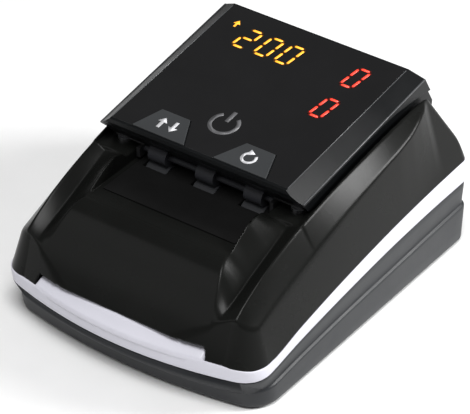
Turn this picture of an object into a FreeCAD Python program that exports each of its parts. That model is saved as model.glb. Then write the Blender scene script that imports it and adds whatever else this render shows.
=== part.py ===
import FreeCAD, Part
import Sketcher
import math
import os

# Counterfeit bill detector: a desktop note reader with a hinged display head.
# Millimetres. +X to the operator's right, -Y towards the operator, +Z up.
# The origin is the centre of the footprint, on the surface that the feet stand on.

V = FreeCAD.Vector
doc = FreeCAD.newDocument("bill_detector")

# ---------------------------------------------------------------- driving dimensions

DIMENSIONS = {
    "half_width": 73.5,          # outside of the light band
    "front_reach": 95.3,         # foremost point of the white lip
    "rear_reach": 95.3,
    "wall": 2.2,
    "foot_height": 1.2,
    "foot_radius": 6.0,
    "corner_radius": 15.0,
    "rear_radius": 5.5,
    "bed_height": 66.2,          # top of the note path
    "bed_thickness": 2.4,
    "channel_half": 40.2,        # half of the note path's width
    "deck_height": 71.5,
    "deck_rear": 69.4,
    "recess_half": 59.0,         # half of the pocket that the head sits in
    "ridge_half": 59.8,
    "shoulder_half": 67.7,
    "valley_half": 52.4,
    "crease_at": -59.6,          # where the ramp turns into the flat note path
    "lens_front": -27.2,
    "lens_height": 88.3,
    "lens_tilt": 7.6,            # degrees
    "lens_half": 50.0,
    "lens_length": 99.6,
    "lens_thick": 1.8,
    "head_half": 58.3,
    "head_body_half": 56.3,
    "head_bottom": 72.9,
    "hinge_at": 76.0,
    "hinge_height": 79.0,
    "hinge_pin_radius": 1.5,
    "lug_radius": 3.8,
    "key_raise": 0.7,
    "key_gap": 0.35,
    "drive_radius": 7.0,
    "drive_width": 12.0,
    "pinch_radius": 4.5,
    "pinch_width": 10.0,
    "roller_pitch": 27.6,
    "shaft_radius": 2.5,
    "pinch_shaft_radius": 1.5,
    "front_axle_at": -17.8,
    "rear_axle_at": 45.0,
    "nip_gap": 0.3,              # between a drive roller and its pinch roller
    "running_gap": 0.05,
    "pulley_radius": 7.0,
    "pulley_width": 5.0,
    "belt_thick": 1.2,
    "motor_radius": 12.0,
    "motor_length": 38.0,
    "motor_height": 36.0,
    "board_thick": 1.6,
    "board_height": 12.0,
    "screw_radius": 1.5,
    "screw_head_radius": 2.8,
    "jack_bore_radius": 2.75,
    "jack_pin_radius": 1.0,
    "jack_depth": 9.5,
    "jack_at": 42.0,
    "jack_height": 17.0,
}

sheet = doc.addObject("Spreadsheet::Sheet", "dims")
for row, (alias, value) in enumerate(DIMENSIONS.items(), start=1):
    sheet.set("A%d" % row, alias)
    sheet.set("B%d" % row, str(value))
    sheet.setAlias("B%d" % row, alias)
doc.recompute()


def d(alias):
    """A driving dimension, read from the sheet."""
    return float(getattr(sheet, alias))


parts = {}


def keep(node, obj):
    """Registers a finished sub-part under its node name."""
    obj.Label = node
    parts[node] = obj
    return obj


def bind(obj, sizes):
    for prop, rule in sizes.items():
        obj.setExpression(prop, rule)
    return obj


def place(obj, x=0.0, y=0.0, z=0.0, rotation=None):
    obj.Placement = FreeCAD.Placement(V(x, y, z), rotation or FreeCAD.Rotation())
    return obj


ALONG_X = FreeCAD.Rotation(V(0, 1, 0), 90)
ALONG_Y = FreeCAD.Rotation(V(1, 0, 0), -90)


def box(name, length, width, height, x, y, z, rotation=None):
    """A box centred on x, starting at y and z. Sizes are numbers or sheet rules."""
    obj = doc.addObject("Part::Box", name)
    bind(obj, {"Length": str(length), "Width": str(width), "Height": str(height)})
    doc.recompute([obj])
    return place(obj, x - obj.Length.Value / 2, y, z, rotation)


def rod(name, radius, length, x, y, z, rotation=ALONG_X):
    """A cylinder from a start point, along +X unless turned."""
    obj = doc.addObject("Part::Cylinder", name)
    bind(obj, {"Radius": str(radius), "Height": str(length)})
    return place(obj, x, y, z, rotation)


UPRIGHT = FreeCAD.Rotation()


def fuse(name, shapes):
    obj = doc.addObject("Part::MultiFuse", name)
    obj.Shapes = shapes
    return obj


def cut(name, base, tools):
    """The base less one tool or several."""
    if isinstance(tools, list):
        tool = tools[0] if len(tools) == 1 else fuse(name + "_tools", tools)
    else:
        tool = tools
    obj = doc.addObject("Part::Cut", name)
    obj.Base = base
    obj.Tool = tool
    return obj


def group(name, shapes):
    obj = doc.addObject("Part::Compound", name)
    obj.Links = shapes
    return obj


def free(name, shape):
    obj = doc.addObject("Part::Feature", name)
    obj.Shape = shape
    obj.Placement = FreeCAD.Placement()
    return obj


# ---------------------------------------------------------------- casing outline

# Each level of the casing: height, how far its front apex is behind the lip's,
# the half width lost to draft, and the curvature of its front (1 / 2R).
LEVELS = [
    (0.0, 10.5, 0.6, 0.00172),
    (11.0, 8.0, 0.3, 0.00195),
    (19.7, 1.3, 0.0, 0.00247),
    (29.4, 0.0, 0.0, 0.00247),
    (43.0, -1.7, 0.2, 0.00247),
    (110.0, -1.7, 0.2, 0.00247),
]


def outline(level, inset=0.0):
    """The casing's plan outline at one level, as a wire with rounded corners."""
    height, setback, draft, bow = level
    half = d("half_width") - draft - d("corner_radius")
    apex = -d("front_reach") + setback + d("corner_radius")
    corner = apex + bow * (half + d("corner_radius")) ** 2
    sag = corner - apex
    bow_radius = (half ** 2 + sag ** 2) / (2 * sag)
    radius = d("corner_radius") - inset
    side = half + radius
    tangent = V(half, corner - apex - bow_radius, 0).normalize()
    diagonal = (tangent + V(1, 0, 0)).normalize()
    rear = d("rear_reach") - draft - inset
    rear_radius = d("rear_radius") - inset
    rear_corner = V(side - rear_radius, rear - rear_radius, height)
    half_turn = rear_radius * math.sqrt(0.5)
    right = [V(half, corner, height) + tangent * radius,
             V(half, corner, height) + diagonal * radius,
             V(side, corner, height),
             V(side, rear_corner.y, height),
             rear_corner + V(half_turn, half_turn, 0),
             V(rear_corner.x, rear, height)]
    left = [V(-point.x, point.y, height) for point in right]
    edges = [Part.Arc(left[0], V(0, apex - radius, height), right[0]).toShape(),
             Part.Arc(*right[0:3]).toShape(),
             Part.LineSegment(right[2], right[3]).toShape(),
             Part.Arc(*right[3:6]).toShape(),
             Part.LineSegment(right[5], left[5]).toShape(),
             Part.Arc(left[5], left[4], left[3]).toShape(),
             Part.LineSegment(left[3], left[2]).toShape(),
             Part.Arc(left[2], left[1], left[0]).toShape()]
    return Part.Wire(edges)


def hull(inset=0.0, low=0, high=5):
    """The casing's outer form between two of its levels, moved in by an inset."""
    wires = [outline(level, inset) for level in LEVELS[low:high + 1]]
    return Part.makeLoft(wires, True, True)


def between(points, at):
    """Straight-line interpolation along a list of (position, value) points."""
    if at <= points[0][0]:
        return points[0][1]
    for (p0, v0), (p1, v1) in zip(points, points[1:]):
        if at <= p1:
            return v0 + (v1 - v0) * (at - p0) / (p1 - p0)
    return points[-1][1]


# Side-view curves of the light band, front to rear: (y, z).
BAND_LOW = [(-99, 19.7), (-80, 19.7), (-71, 20.7), (-48, 24.9), (-7, 30.1),
            (34, 33.8), (69, 35.3), (99, 35.7)]
BAND_HIGH = [(-99, 29.4), (-90, 28.9), (-79, 26.6), (-70, 26.7), (-47, 31.8), (-7, 38.9),
             (35, 44.3), (69, 47.0), (99, 48.4)]


def side_curve(points):
    curve = Part.BSplineCurve()
    curve.interpolate([V(0, y, z) for y, z in points])
    return curve.toShape()


def slab_between(lower, upper):
    """Everything between two side-view edges, right across the casing."""
    low_a, low_b = lower.Vertexes[0].Point, lower.Vertexes[-1].Point
    up_a, up_b = upper.Vertexes[0].Point, upper.Vertexes[-1].Point
    front = Part.LineSegment(low_a, up_a).toShape()
    rear = Part.LineSegment(low_b, up_b).toShape()
    face = Part.Face(Part.Wire(Part.__sortEdges__([lower, rear, upper, front])))
    reach = d("half_width") + 10
    face.translate(V(-reach, 0, 0))
    return face.extrude(V(2 * reach, 0, 0))


def level_edge(height):
    return Part.LineSegment(V(0, -99, height), V(0, 99, height)).toShape()


low_edge = side_curve(BAND_LOW)
high_edge = side_curve(BAND_HIGH)

# ---------------------------------------------------------------- lower case

tub_height = d("foot_height")
floor_top = tub_height + d("wall")
outer = hull(0.0)
inner = hull(d("wall"))
below_band = slab_between(level_edge(tub_height), low_edge)
above_floor = slab_between(level_edge(floor_top), level_edge(108))
tub = outer.common(below_band).cut(inner.common(above_floor))

lower_shell = free("lower_shell", tub)

POST_PLACES = [(-61.0, -62.0), (61.0, -62.0), (-61.0, 78.0), (61.0, 78.0)]
FOOT_PLACES = [(-56.0, -68.0), (56.0, -68.0), (-56.0, 84.0), (56.0, 84.0)]
BOARD_PLACES = [(-46.0, 4.0), (46.0, 4.0), (-46.0, 66.0), (46.0, 66.0)]
POST_TOP = 22.0


def posts(name, places, radius, low, high):
    made = []
    for index, (x, y) in enumerate(places):
        made.append(rod("%s_%d" % (name, index), radius, high - low, x, y, low, UPRIGHT))
    return made


lower_posts = posts("lower_post", POST_PLACES, 4.0, floor_top - 0.2, POST_TOP)
standoffs = posts("standoff", BOARD_PLACES, 3.2, floor_top - 0.2, d("board_height"))
lower_solid = fuse("lower_solid", [lower_shell] + lower_posts + standoffs)

case_bores = posts("case_bore", POST_PLACES, "dims.screw_radius + 0.1", 0, POST_TOP + 1)
case_sinks = posts("case_sink", POST_PLACES, "dims.screw_head_radius + 0.3", 0, 5.0)
board_bores = posts("board_bore", BOARD_PLACES, 1.25, 5.0, d("board_height") + 1)
foot_holes = posts("foot_hole", FOOT_PLACES, 2.0, 0, 6.0)
battery_window = box("battery_window", 78.4, 44.4, 4.0, 0, -66.2, 0.5)
jack_window = box("jack_window", 10.4, 8.0, 12.4, d("jack_at"), 89.0, d("jack_height") - 6.2)
port_window = box("port_window", 12.6, 8.0, 6.6, 18.0, 89.0, d("jack_height") - 3.3)
grille_holes = [rod("grille_centre", 1.2, 6.0, -40.0, 36.0, 0, UPRIGHT)]
for step in range(6):
    angle = math.radians(60 * step)
    x, y = -40.0 + 6 * math.cos(angle), 36.0 + 6 * math.sin(angle)
    grille_holes.append(rod("grille_%d" % step, 1.2, 6.0, x, y, 0, UPRIGHT))
keep("lower_case", cut("lower_case", lower_solid, case_bores + case_sinks + board_bores
                       + foot_holes + grille_holes + [battery_window, jack_window,
                                                      port_window]))

# ---------------------------------------------------------------- light band and lip

LIP_HALF = 48.6
LIP_TOP = 34.1
LIP_DEPTH = 6.6


def lip_outline(height, setback, inset):
    return outline((height, setback, 0.0, 0.00247), inset)


band_zone = slab_between(low_edge, high_edge)
band = outer.common(band_zone).cut(inner)
lip_block = Part.makeLoft([lip_outline(28.0, 0.15, 0.0), lip_outline(29.4, 0.0, 0.0),
                           lip_outline(LIP_TOP, 5.0, 0.0)], True, True)
lip_core = Part.makeLoft([lip_outline(20.0, LIP_DEPTH, 0.0),
                          lip_outline(40.0, LIP_DEPTH, 0.0)], True, True)
lip_window = Part.makeBox(2 * LIP_HALF, 40, 60, V(-LIP_HALF, -110, 0))
lip = lip_block.cut(lip_core).common(lip_window)
lip_back = outer.common(lip_window).cut(lip_core).common(
    slab_between(level_edge(27.0), level_edge(28.2)))
trim_strip = keep("trim_strip", free("trim_strip", band.fuse([lip, lip_back]).removeSplitter()))

# ---------------------------------------------------------------- upper case

RIDGE = [(-92, 40.5), (-82, 49.0), (-74, 54.3), (-66, 58.6), (-50, 65.8), (-24, 73.9),
         (4, 79.6), (36, 84.6), (76, 87.0)]
RAMP = [(-92, 31.0), (-88.5, 36.5), (-83.4, 43.9), (-77.1, 51.9), (-70.7, 59.6),
        (-67.1, 63.0), (-63.0, 65.2), (-59.6, 66.2)]
GUIDE = [(-59.6, 66.2), (-42, 75.0), (-36, 76.0), (-32, 74.5), (-28.5, 71.5)]
REAR_TOP = 76.0                  # the rear wall leans back from here
REAR_LEAN = 1.85                 # fall per millimetre towards the rear
RECESS_FRONT = -28.0


def rear_limit(y):
    return 87.0 - REAR_LEAN * max(0.0, y - REAR_TOP)


def shoulder_height(y):
    along = y + 89.0
    return min(41.0 + 0.345 * along - 0.00046 * along ** 2, rear_limit(y) - 2.0)


def ridge_height(y):
    return min(between(RIDGE, y), rear_limit(y))


def valley_height(y):
    return min(69.9 + 0.415 * (y + 28.1), ridge_height(y) - 1.5)


def top_section(y, skin=0.0):
    """Right half of the upper case's cross-section, outside to middle: (x, z) points.

    With a skin, the same points lie that far inside the casing."""
    side_x = d("half_width") - 0.9
    sunk = skin * 1.15
    side = (side_x - skin, between(BAND_HIGH, y) - 6.0)
    edge = (side_x - skin, between(BAND_HIGH, y) - 0.6 * skin)
    shoulder = (d("shoulder_half") - 0.9 * skin, shoulder_height(y) - 0.8 * skin)
    wide = d("channel_half")
    path = d("bed_height")
    if y < RECESS_FRONT:
        ridge = (d("ridge_half"), ridge_height(y) - sunk)
        valley = (d("valley_half"), valley_height(y) - sunk)
        if y < d("crease_at"):
            foot_x = wide + (d("crease_at") - y) * 0.345
            ramp = between(RAMP, y)
            crest = (foot_x + skin, ramp - sunk)
            foot = (foot_x - 0.5 + skin, ramp - 0.15 - sunk)
        else:
            crest = (wide + skin, between(GUIDE, y) + 0.1 - sunk)
            foot = (wide - 0.5 + skin, path - 0.15 - sunk)
    else:
        limit = rear_limit(y) - 0.4
        deck = min(d("deck_height") if y < 70 else d("deck_rear"), limit)
        ridge = (d("ridge_half") + 0.9 * skin, ridge_height(y) - sunk)
        valley = (d("recess_half") + skin, min(deck, ridge[1] - 0.3) - sunk)
        crest = (wide + skin, min(deck, ridge[1] - 0.3) - sunk)
        foot = (wide - 0.1 + skin, min(path - 0.15, limit - 0.5) - sunk)
    return [side, edge, shoulder, ridge, valley, crest, foot]


STATIONS = [-99, -88.5, -82, -74, -67, -59.6, -50, -42, -36, -28.4, -27.6, 4, 36, 69.6, 70.4, 76,
            84, 99]


def facets(low, high):
    """Flat triangles between two runs of points that match one to one."""
    made = []
    for index in range(len(low) - 1):
        a, b = low[index], low[index + 1]
        c, e = high[index + 1], high[index]
        made.append(Part.Face(Part.makePolygon([a, b, c, a])))
        made.append(Part.Face(Part.makePolygon([a, c, e, a])))
    return made


def ring_at(y, skin):
    """The whole section at a station: right half, then its mirror image."""
    right = [V(x, y, z) for x, z in top_section(y, skin)]
    return right + [V(-p.x, p.y, p.z) for p in reversed(right)]


def top_solid(skin=0.0):
    """A flat-faceted solid through the sections, with the same facets left and right."""
    rings = [ring_at(y, skin) for y in STATIONS]
    middle = len(rings[0]) // 2
    faces = []
    for low, high in zip(rings, rings[1:]):
        faces += facets(low[:middle], high[:middle])
        faces += facets(list(reversed(low[middle:])), list(reversed(high[middle:])))
        faces += facets(low[middle - 1:middle + 1], high[middle - 1:middle + 1])
        faces += facets([low[-1], low[0]], [high[-1], high[0]])
    for ring in (rings[0], rings[-1]):
        faces.append(Part.Face(Part.makePolygon(ring + [ring[0]])))
    solid = Part.makeSolid(Part.makeShell(faces))
    if solid.Volume < 0:
        solid.reverse()
    return solid


upper_outer = top_solid().common(outer)
# The hollow is kept clear of the rear wall, the nose and the lip by its own hull.
upper_void = top_solid(d("wall")).common(inner)
above_band = slab_between(high_edge, level_edge(108))
lip_clear = Part.makeBox(2 * LIP_HALF + 0.4, 40, LIP_TOP + 0.2, V(-LIP_HALF - 0.2, -110, 0))
lip_clear = lip_clear.cut(lip_core)
upper = upper_outer.cut(upper_void).common(above_band).cut(lip_clear)
upper_shell = free("upper_shell", upper)

DECK_UNDER = 68.9
upper_posts = posts("upper_post", POST_PLACES, 4.0, POST_TOP, 80.0)
post_limit = free("post_limit", top_solid(0.6).common(hull(1.0)))
trimmed_posts = doc.addObject("Part::MultiCommon", "trimmed_posts")
trimmed_posts.Shapes = [fuse("upper_posts", upper_posts), post_limit]

LUG_INNER, LUG_OUTER = 46.0, 49.0


def lugs(name, inner, outer, radius, low):
    """A pair of hinge lugs: a round eye on a stem that rises from a level."""
    made = []
    for side in (-1, 1):
        start = inner if side > 0 else -outer
        made.append(rod("%s_eye_%d" % (name, side), radius, outer - inner, start,
                        d("hinge_at"), d("hinge_height")))
        stem = box("%s_stem_%d" % (name, side), outer - inner, 2 * radius,
                   d("hinge_height") - low, side * (inner + outer) / 2,
                   d("hinge_at") - radius, low)
        made.append(stem)
    return made


def pair_of_rods(name, radius, inner, outer, y, z):
    return [rod("%s_left" % name, radius, outer - inner, -outer, y, z),
            rod("%s_right" % name, radius, outer - inner, inner, y, z)]


case_lugs = lugs("case_lug", LUG_INNER, LUG_OUTER, d("lug_radius"), 68.0)
upper_solid = fuse("upper_solid", [upper_shell, trimmed_posts] + case_lugs)

BED_HALF, BED_FRONT, BED_REAR = 38.0, -50.0, 83.0
bed_window = box("bed_window", 2 * BED_HALF, BED_REAR - BED_FRONT, 8.0, 0, BED_FRONT, 60.0)
post_bores = posts("post_bore", POST_PLACES, 1.3, POST_TOP - 1, POST_TOP + 12)
lug_bores = pair_of_rods("lug_bore", "dims.hinge_pin_radius", LUG_INNER - 1, LUG_OUTER + 1,
                         d("hinge_at"), d("hinge_height"))
MAGNET_PLACES = [(-50.0, -16.0), (50.0, -16.0)]
magnet_holes = posts("magnet_hole", MAGNET_PLACES, 4.0, 66.0, 73.0)
keep("upper_case", cut("upper_case", upper_solid,
                       [bed_window] + post_bores + lug_bores + magnet_holes))

keep("latch_magnets", group("latch_magnets",
                            posts("magnet", MAGNET_PLACES, 4.0, 69.3, 72.4)))
keep("hinge_pins", group("hinge_pins",
                         pair_of_rods("hinge_pin", "dims.hinge_pin_radius", LUG_INNER - 1.5,
                                      53.0, d("hinge_at"), d("hinge_height"))))

# ---------------------------------------------------------------- feet and fasteners


def screw(name, x, y, seat, length, radius, head_radius, up=1):
    """A pan-head screw standing on its head's seat; up is the way the shank points."""
    low_shank = seat if up > 0 else seat - length
    low_head = seat - 1.8 if up > 0 else seat
    shank = rod(name + "_shank", radius, length, x, y, low_shank, UPRIGHT)
    head = rod(name + "_head", head_radius, 1.8, x, y, low_head, UPRIGHT)
    return fuse(name, [shank, head])


feet = []
for index, (x, y) in enumerate(FOOT_PLACES):
    pad = rod("foot_pad_%d" % index, "dims.foot_radius", "dims.foot_height", x, y, 0, UPRIGHT)
    stem = rod("foot_stem_%d" % index, 2.0, 3.2, x, y, 0.5, UPRIGHT)
    feet.append(fuse("foot_%d" % index, [pad, stem]))
keep("rubber_feet", group("rubber_feet", feet))

case_screws = []
for index, (x, y) in enumerate(POST_PLACES):
    case_screws.append(screw("case_screw_%d" % index, x, y, 5.0, 27.0, 1.3,
                             d("screw_head_radius")))
keep("case_screws", group("case_screws", case_screws))

board_top = d("board_height") + d("board_thick")
board_screws = []
for index, (x, y) in enumerate(BOARD_PLACES):
    board_screws.append(screw("board_screw_%d" % index, x, y, board_top, 8.0, 1.25, 2.6, -1))
keep("board_screws", group("board_screws", board_screws))

# ---------------------------------------------------------------- electronics in the base

board_blank = box("board_blank", 100.0, 74.0, "dims.board_thick", 0, -2.0, d("board_height"))
board_holes = posts("board_hole", BOARD_PLACES, 1.25, 10, 16)
chips = [box("processor", 14.0, 14.0, 1.6, -8.0, 40.0, board_top - 0.1),
         box("memory", 8.0, 6.0, 1.2, 14.0, 46.0, board_top - 0.1),
         box("driver", 9.0, 9.0, 1.6, -28.0, 14.0, board_top - 0.1),
         box("header", 22.0, 5.0, 7.0, 6.0, 1.0, board_top - 0.1),
         rod("capacitor", 4.0, 9.0, 30.0, 20.0, board_top - 0.1, UPRIGHT)]
keep("main_board", fuse("main_board", [cut("board_drilled", board_blank, board_holes)] + chips))

jack_y = 83.0
jack_front = 95.0
jack_body = box("jack_body", 10.0, jack_front - jack_y, 12.0, d("jack_at"), jack_y,
                d("jack_height") - 6.0)
jack_hole = rod("jack_hole", "dims.jack_bore_radius", 12.0, d("jack_at"),
                jack_front - d("jack_depth"), d("jack_height"), ALONG_Y)
jack_pin = rod("jack_pin", "dims.jack_pin_radius", 8.3, d("jack_at"),
               jack_front - d("jack_depth") - 0.3, d("jack_height"), ALONG_Y)
keep("dc_jack", fuse("dc_jack", [cut("jack_bored", jack_body, jack_hole), jack_pin]))

port_body = box("port_body", 12.0, 9.0, 6.0, 18.0, 86.0, d("jack_height") - 3.0)
port_mouth = box("port_mouth", 8.4, 7.0, 2.8, 18.0, 89.0, d("jack_height") - 1.4)
keep("update_port", cut("update_port", port_body, port_mouth))

speaker_rim = rod("speaker_rim", 13.0, 2.0, -40.0, 36.0, floor_top, UPRIGHT)
speaker_magnet = rod("speaker_magnet", 7.0, 4.5, -40.0, 36.0, floor_top + 1.9, UPRIGHT)
keep("speaker", fuse("speaker", [speaker_rim, speaker_magnet]))

cell_level = floor_top + 9.4
cells = [rod("cell_front", 9.1, 70.0, -35.0, -54.0, cell_level),
         rod("cell_rear", 9.1, 70.0, -35.0, -35.4, cell_level),
         box("cell_wrap", 66.0, 12.0, 6.0, 0, -50.7, cell_level - 3.0)]
keep("battery_pack", fuse("battery_pack", cells))

cover_plate = box("cover_plate", 78.0, 44.0, 1.9, 0, -66.0, tub_height)
cover_ribs = [box("cover_rib_%d" % rib, 40.0, 1.2, 1.0, 0, -60.0 + 6 * rib, tub_height - 0.6)
              for rib in range(3)]
keep("battery_cover", fuse("battery_cover", [cover_plate] + cover_ribs))

# ---------------------------------------------------------------- note bed and feed frame

bed_top = d("bed_height")
bed_low = bed_top - d("bed_thickness")
drive_level = bed_top + d("nip_gap") - d("drive_radius")
pinch_level = bed_top + 2 * d("nip_gap") + d("pinch_radius")
AXLES = {"front": d("front_axle_at"), "rear": d("rear_axle_at")}
ROLLER_PLACES = [-d("roller_pitch"), 0.0, d("roller_pitch")]

bed = doc.addObject("PartDesign::Body", "note_bed")


def origin_plane(body, role):
    for feature in body.Origin.OriginFeatures:
        if feature.Role == role:
            return feature


def closed_outline(sketch, points):
    """Adds a closed run of straight lines, joined end to end."""
    first = sketch.GeometryCount
    count = len(points)
    for index in range(count):
        a, b = points[index], points[(index + 1) % count]
        sketch.addGeometry(Part.LineSegment(V(a[0], a[1], 0), V(b[0], b[1], 0)), False)
    for index in range(count):
        sketch.addConstraint(Sketcher.Constraint(
            "Coincident", first + index, 2, first + (index + 1) % count, 1))


def rectangle(x, y, width, length):
    return [(x - width / 2, y - length / 2), (x + width / 2, y - length / 2),
            (x + width / 2, y + length / 2), (x - width / 2, y + length / 2)]


def sketch_on(body, name, outlines):
    sketch = body.newObject("Sketcher::SketchObject", name)
    sketch.AttachmentSupport = (origin_plane(body, "XY_Plane"), [""])
    sketch.MapMode = "FlatFace"
    for points in outlines:
        closed_outline(sketch, points)
    return sketch


SENSOR_Y, SENSOR_LENGTH, SENSOR_WIDTH = 14.0, 12.0, 68.0
MAGNETIC_Y = 30.0
slots = [rectangle(x, axle, d("drive_width") + 1.4, 13.0)
         for axle in AXLES.values() for x in ROLLER_PLACES]
slots.append(rectangle(0, SENSOR_Y, SENSOR_WIDTH + 0.4, SENSOR_LENGTH + 0.4))
slots.append(rectangle(0, MAGNETIC_Y, 16.4, 8.4))
bed_middle = (BED_FRONT + BED_REAR) / 2
bed_plan = sketch_on(bed, "bed_plan", [rectangle(0, bed_middle, 2 * BED_HALF - 0.4,
                                                 BED_REAR - BED_FRONT - 0.4)])
bed_pad = bed.newObject("PartDesign::Pad", "bed_pad")
bed_pad.Profile = bed_plan
bed_pad.setExpression("Length", "dims.bed_thickness")
doc.recompute()
solid_volume = bed.Shape.Volume
slot_plan = sketch_on(bed, "slot_plan", slots)
slot_cut = bed.newObject("PartDesign::Pocket", "slot_cut")
slot_cut.Profile = slot_plan
slot_cut.Type = "ThroughAll"
slot_cut.Reversed = True
doc.recompute()
if bed.Shape.Volume > solid_volume - 100:
    raise RuntimeError("the note bed's slots cut nothing")
place(bed, 0, 0, bed_low)
keep("note_bed", bed)

keep("lower_sensor_bar", box("lower_sensor_bar", SENSOR_WIDTH, SENSOR_LENGTH, 9.0, 0,
                             SENSOR_Y - SENSOR_LENGTH / 2, bed_top - 9.1))
keep("magnetic_head", box("magnetic_head", 16.0, 8.0, 10.0, 0, MAGNETIC_Y - 4, bed_top - 9.9))

PLATE_INNER, PLATE_OUTER = 43.2, 45.2
FRAME_LOW = 50.0
BUSH_RADIUS = 4.0
frame_pieces = []
FRAME_FRONT, FRAME_REAR, FRAME_STEP = -28.0, 56.0, 4.0
for side in (-1, 1):
    plate_x = side * (PLATE_INNER + PLATE_OUTER) / 2
    frame_pieces.append(box("frame_plate_%d" % side, PLATE_OUTER - PLATE_INNER,
                            FRAME_REAR - FRAME_FRONT, 66.8 - FRAME_LOW, plate_x,
                            FRAME_FRONT, FRAME_LOW))
    frame_pieces.append(box("frame_rise_%d" % side, PLATE_OUTER - PLATE_INNER,
                            FRAME_REAR - FRAME_STEP, DECK_UNDER - 60.0, plate_x,
                            FRAME_STEP, 60.0))
for index, y in enumerate((-4.0, 26.0, 52.0)):
    frame_pieces.append(box("frame_tie_%d" % index, 2 * PLATE_INNER + 0.4, 4.0, 3.0, 0, y,
                            FRAME_LOW))
bush_holes = []
for name, y in AXLES.items():
    bush_holes.append(rod("bush_hole_" + name, BUSH_RADIUS, 100.0, -50.0, y, drive_level))
keep("feed_frame", cut("feed_frame", fuse("frame_blank", frame_pieces), bush_holes))

for name, y in AXLES.items():
    rings = []
    for side in (-1, 1):
        start = PLATE_INNER - 0.8 if side > 0 else -PLATE_OUTER - 0.8
        ring = rod("bush_%s_%d" % (name, side), BUSH_RADIUS, 3.6, start, y, drive_level)
        bore = rod("bush_bore_%s_%d" % (name, side), "dims.shaft_radius + dims.running_gap",
                   6.0, start - 1, y, drive_level)
        rings.append(cut("bush_ring_%s_%d" % (name, side), ring, bore))
    keep(name + "_bushes", group(name + "_bushes", rings))

# ---------------------------------------------------------------- drive shafts, pulleys, motor

PULLEY_START = -54.0
SHAFT_END = {"front": 49.0, "rear": 54.0}
BELT_CLEAR = 0.05

for name, y in AXLES.items():
    length = SHAFT_END[name] - PULLEY_START + 1
    keep(name + "_drive_shaft", rod(name + "_drive_shaft", "dims.shaft_radius", length,
                                    PULLEY_START - 1, y, drive_level))
    wheels = []
    for index, x in enumerate(ROLLER_PLACES):
        tyre = rod("%s_tyre_%d" % (name, index), "dims.drive_radius", "dims.drive_width",
                   x - d("drive_width") / 2, y, drive_level)
        bore = rod("%s_tyre_bore_%d" % (name, index), "dims.shaft_radius", 20.0, x - 10, y,
                   drive_level)
        wheels.append(cut("%s_wheel_%d" % (name, index), tyre, bore))
    keep(name + "_drive_rollers", group(name + "_drive_rollers", wheels))


def pulley(name, y, z, bore):
    rim = rod(name + "_rim", "dims.pulley_radius", "dims.pulley_width", PULLEY_START, y, z)
    flange = rod(name + "_flange", "dims.pulley_radius + 0.8", 0.8,
                 PULLEY_START + d("pulley_width"), y, z)
    hole = rod(name + "_hole", bore, 12.0, PULLEY_START - 2, y, z)
    return cut(name, fuse(name + "_blank", [rim, flange]), hole)


MOTOR_Y = 13.6
motor_level = d("motor_height")
for name, y in AXLES.items():
    keep(name + "_pulley", pulley(name + "_pulley", y, drive_level, "dims.shaft_radius"))
keep("motor_pulley", pulley("motor_pulley", MOTOR_Y, motor_level, 1.5))
keep("motor_spindle", rod("motor_spindle", 1.5, 17.0, PULLEY_START - 1, MOTOR_Y, motor_level))

MOTOR_START = -38.0
motor_can = rod("motor_can", "dims.motor_radius", "dims.motor_length", MOTOR_START, MOTOR_Y,
                motor_level)
motor_cap = rod("motor_cap", 9.0, 3.0, MOTOR_START + d("motor_length") - 0.5, MOTOR_Y,
                motor_level)
motor_boss = rod("motor_boss", 3.6, 2.0, MOTOR_START - 1.9, MOTOR_Y, motor_level)
spindle_hole = rod("spindle_hole", "1.5 + dims.running_gap", 5.0, MOTOR_START - 4, MOTOR_Y,
                   motor_level)
keep("feed_motor", cut("feed_motor", fuse("motor_blank", [motor_can, motor_cap, motor_boss]),
                       spindle_hole))
bracket_web = box("bracket_web", 2.0, 30.0, FRAME_LOW - 22.0, MOTOR_START - 1.0,
                  MOTOR_Y - 15.0, 22.0)
bracket_foot = box("bracket_foot", 7.2, 30.0, 2.0, MOTOR_START - 3.6, MOTOR_Y - 15.0,
                   FRAME_LOW - 2.0)
bracket_hole = rod("bracket_hole", 3.6, 6.0, MOTOR_START - 4, MOTOR_Y, motor_level)
keep("motor_bracket", cut("motor_bracket", fuse("bracket_blank", [bracket_web, bracket_foot]),
                          bracket_hole))

corners = [V(0, AXLES["front"], drive_level), V(0, AXLES["rear"], drive_level),
           V(0, MOTOR_Y, motor_level)]
centres = Part.makePolygon(corners + [corners[0]])
belt_inside = centres.makeOffset2D(d("pulley_radius") + BELT_CLEAR, 0, False, False, False)
belt_outside = centres.makeOffset2D(d("pulley_radius") + BELT_CLEAR + d("belt_thick"), 0,
                                    False, False, False)
belt_width = V(d("pulley_width") - 1.0, 0, 0)
belt_shape = Part.Face(belt_outside).extrude(belt_width).cut(
    Part.Face(belt_inside).extrude(belt_width))
belt = free("drive_belt", belt_shape)
keep("drive_belt", place(belt, PULLEY_START + 0.4, 0, 0))

disc_x = 51.0
disc = rod("disc_blank", 9.0, 0.8, disc_x, AXLES["rear"], drive_level)
disc_bore = rod("disc_bore", "dims.shaft_radius", 4.0, disc_x - 1, AXLES["rear"], drive_level)
disc_slots = []
for step in range(12):
    angle = math.radians(30 * step)
    disc_slots.append(rod("disc_slot_%d" % step, 0.8, 4.0, disc_x - 1,
                          AXLES["rear"] + 7 * math.cos(angle),
                          drive_level + 7 * math.sin(angle)))
keep("encoder_disc", cut("encoder_disc", disc, [disc_bore] + disc_slots))
fork = box("fork_blank", 5.2, 8.0, 7.0, disc_x + 0.4, AXLES["rear"] + 5.5, drive_level - 3.5)
fork_slot = box("fork_slot", 2.0, 6.0, 9.0, disc_x + 0.4, AXLES["rear"] + 4.5,
                drive_level - 4.5)
keep("encoder_sensor", cut("encoder_sensor", fork, fork_slot))

# ---------------------------------------------------------------- head, in the lens's own slope

TILT = FreeCAD.Rotation(V(1, 0, 0), d("lens_tilt"))
LENS_CORNER = V(0, d("lens_front"), d("lens_height"))


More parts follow.
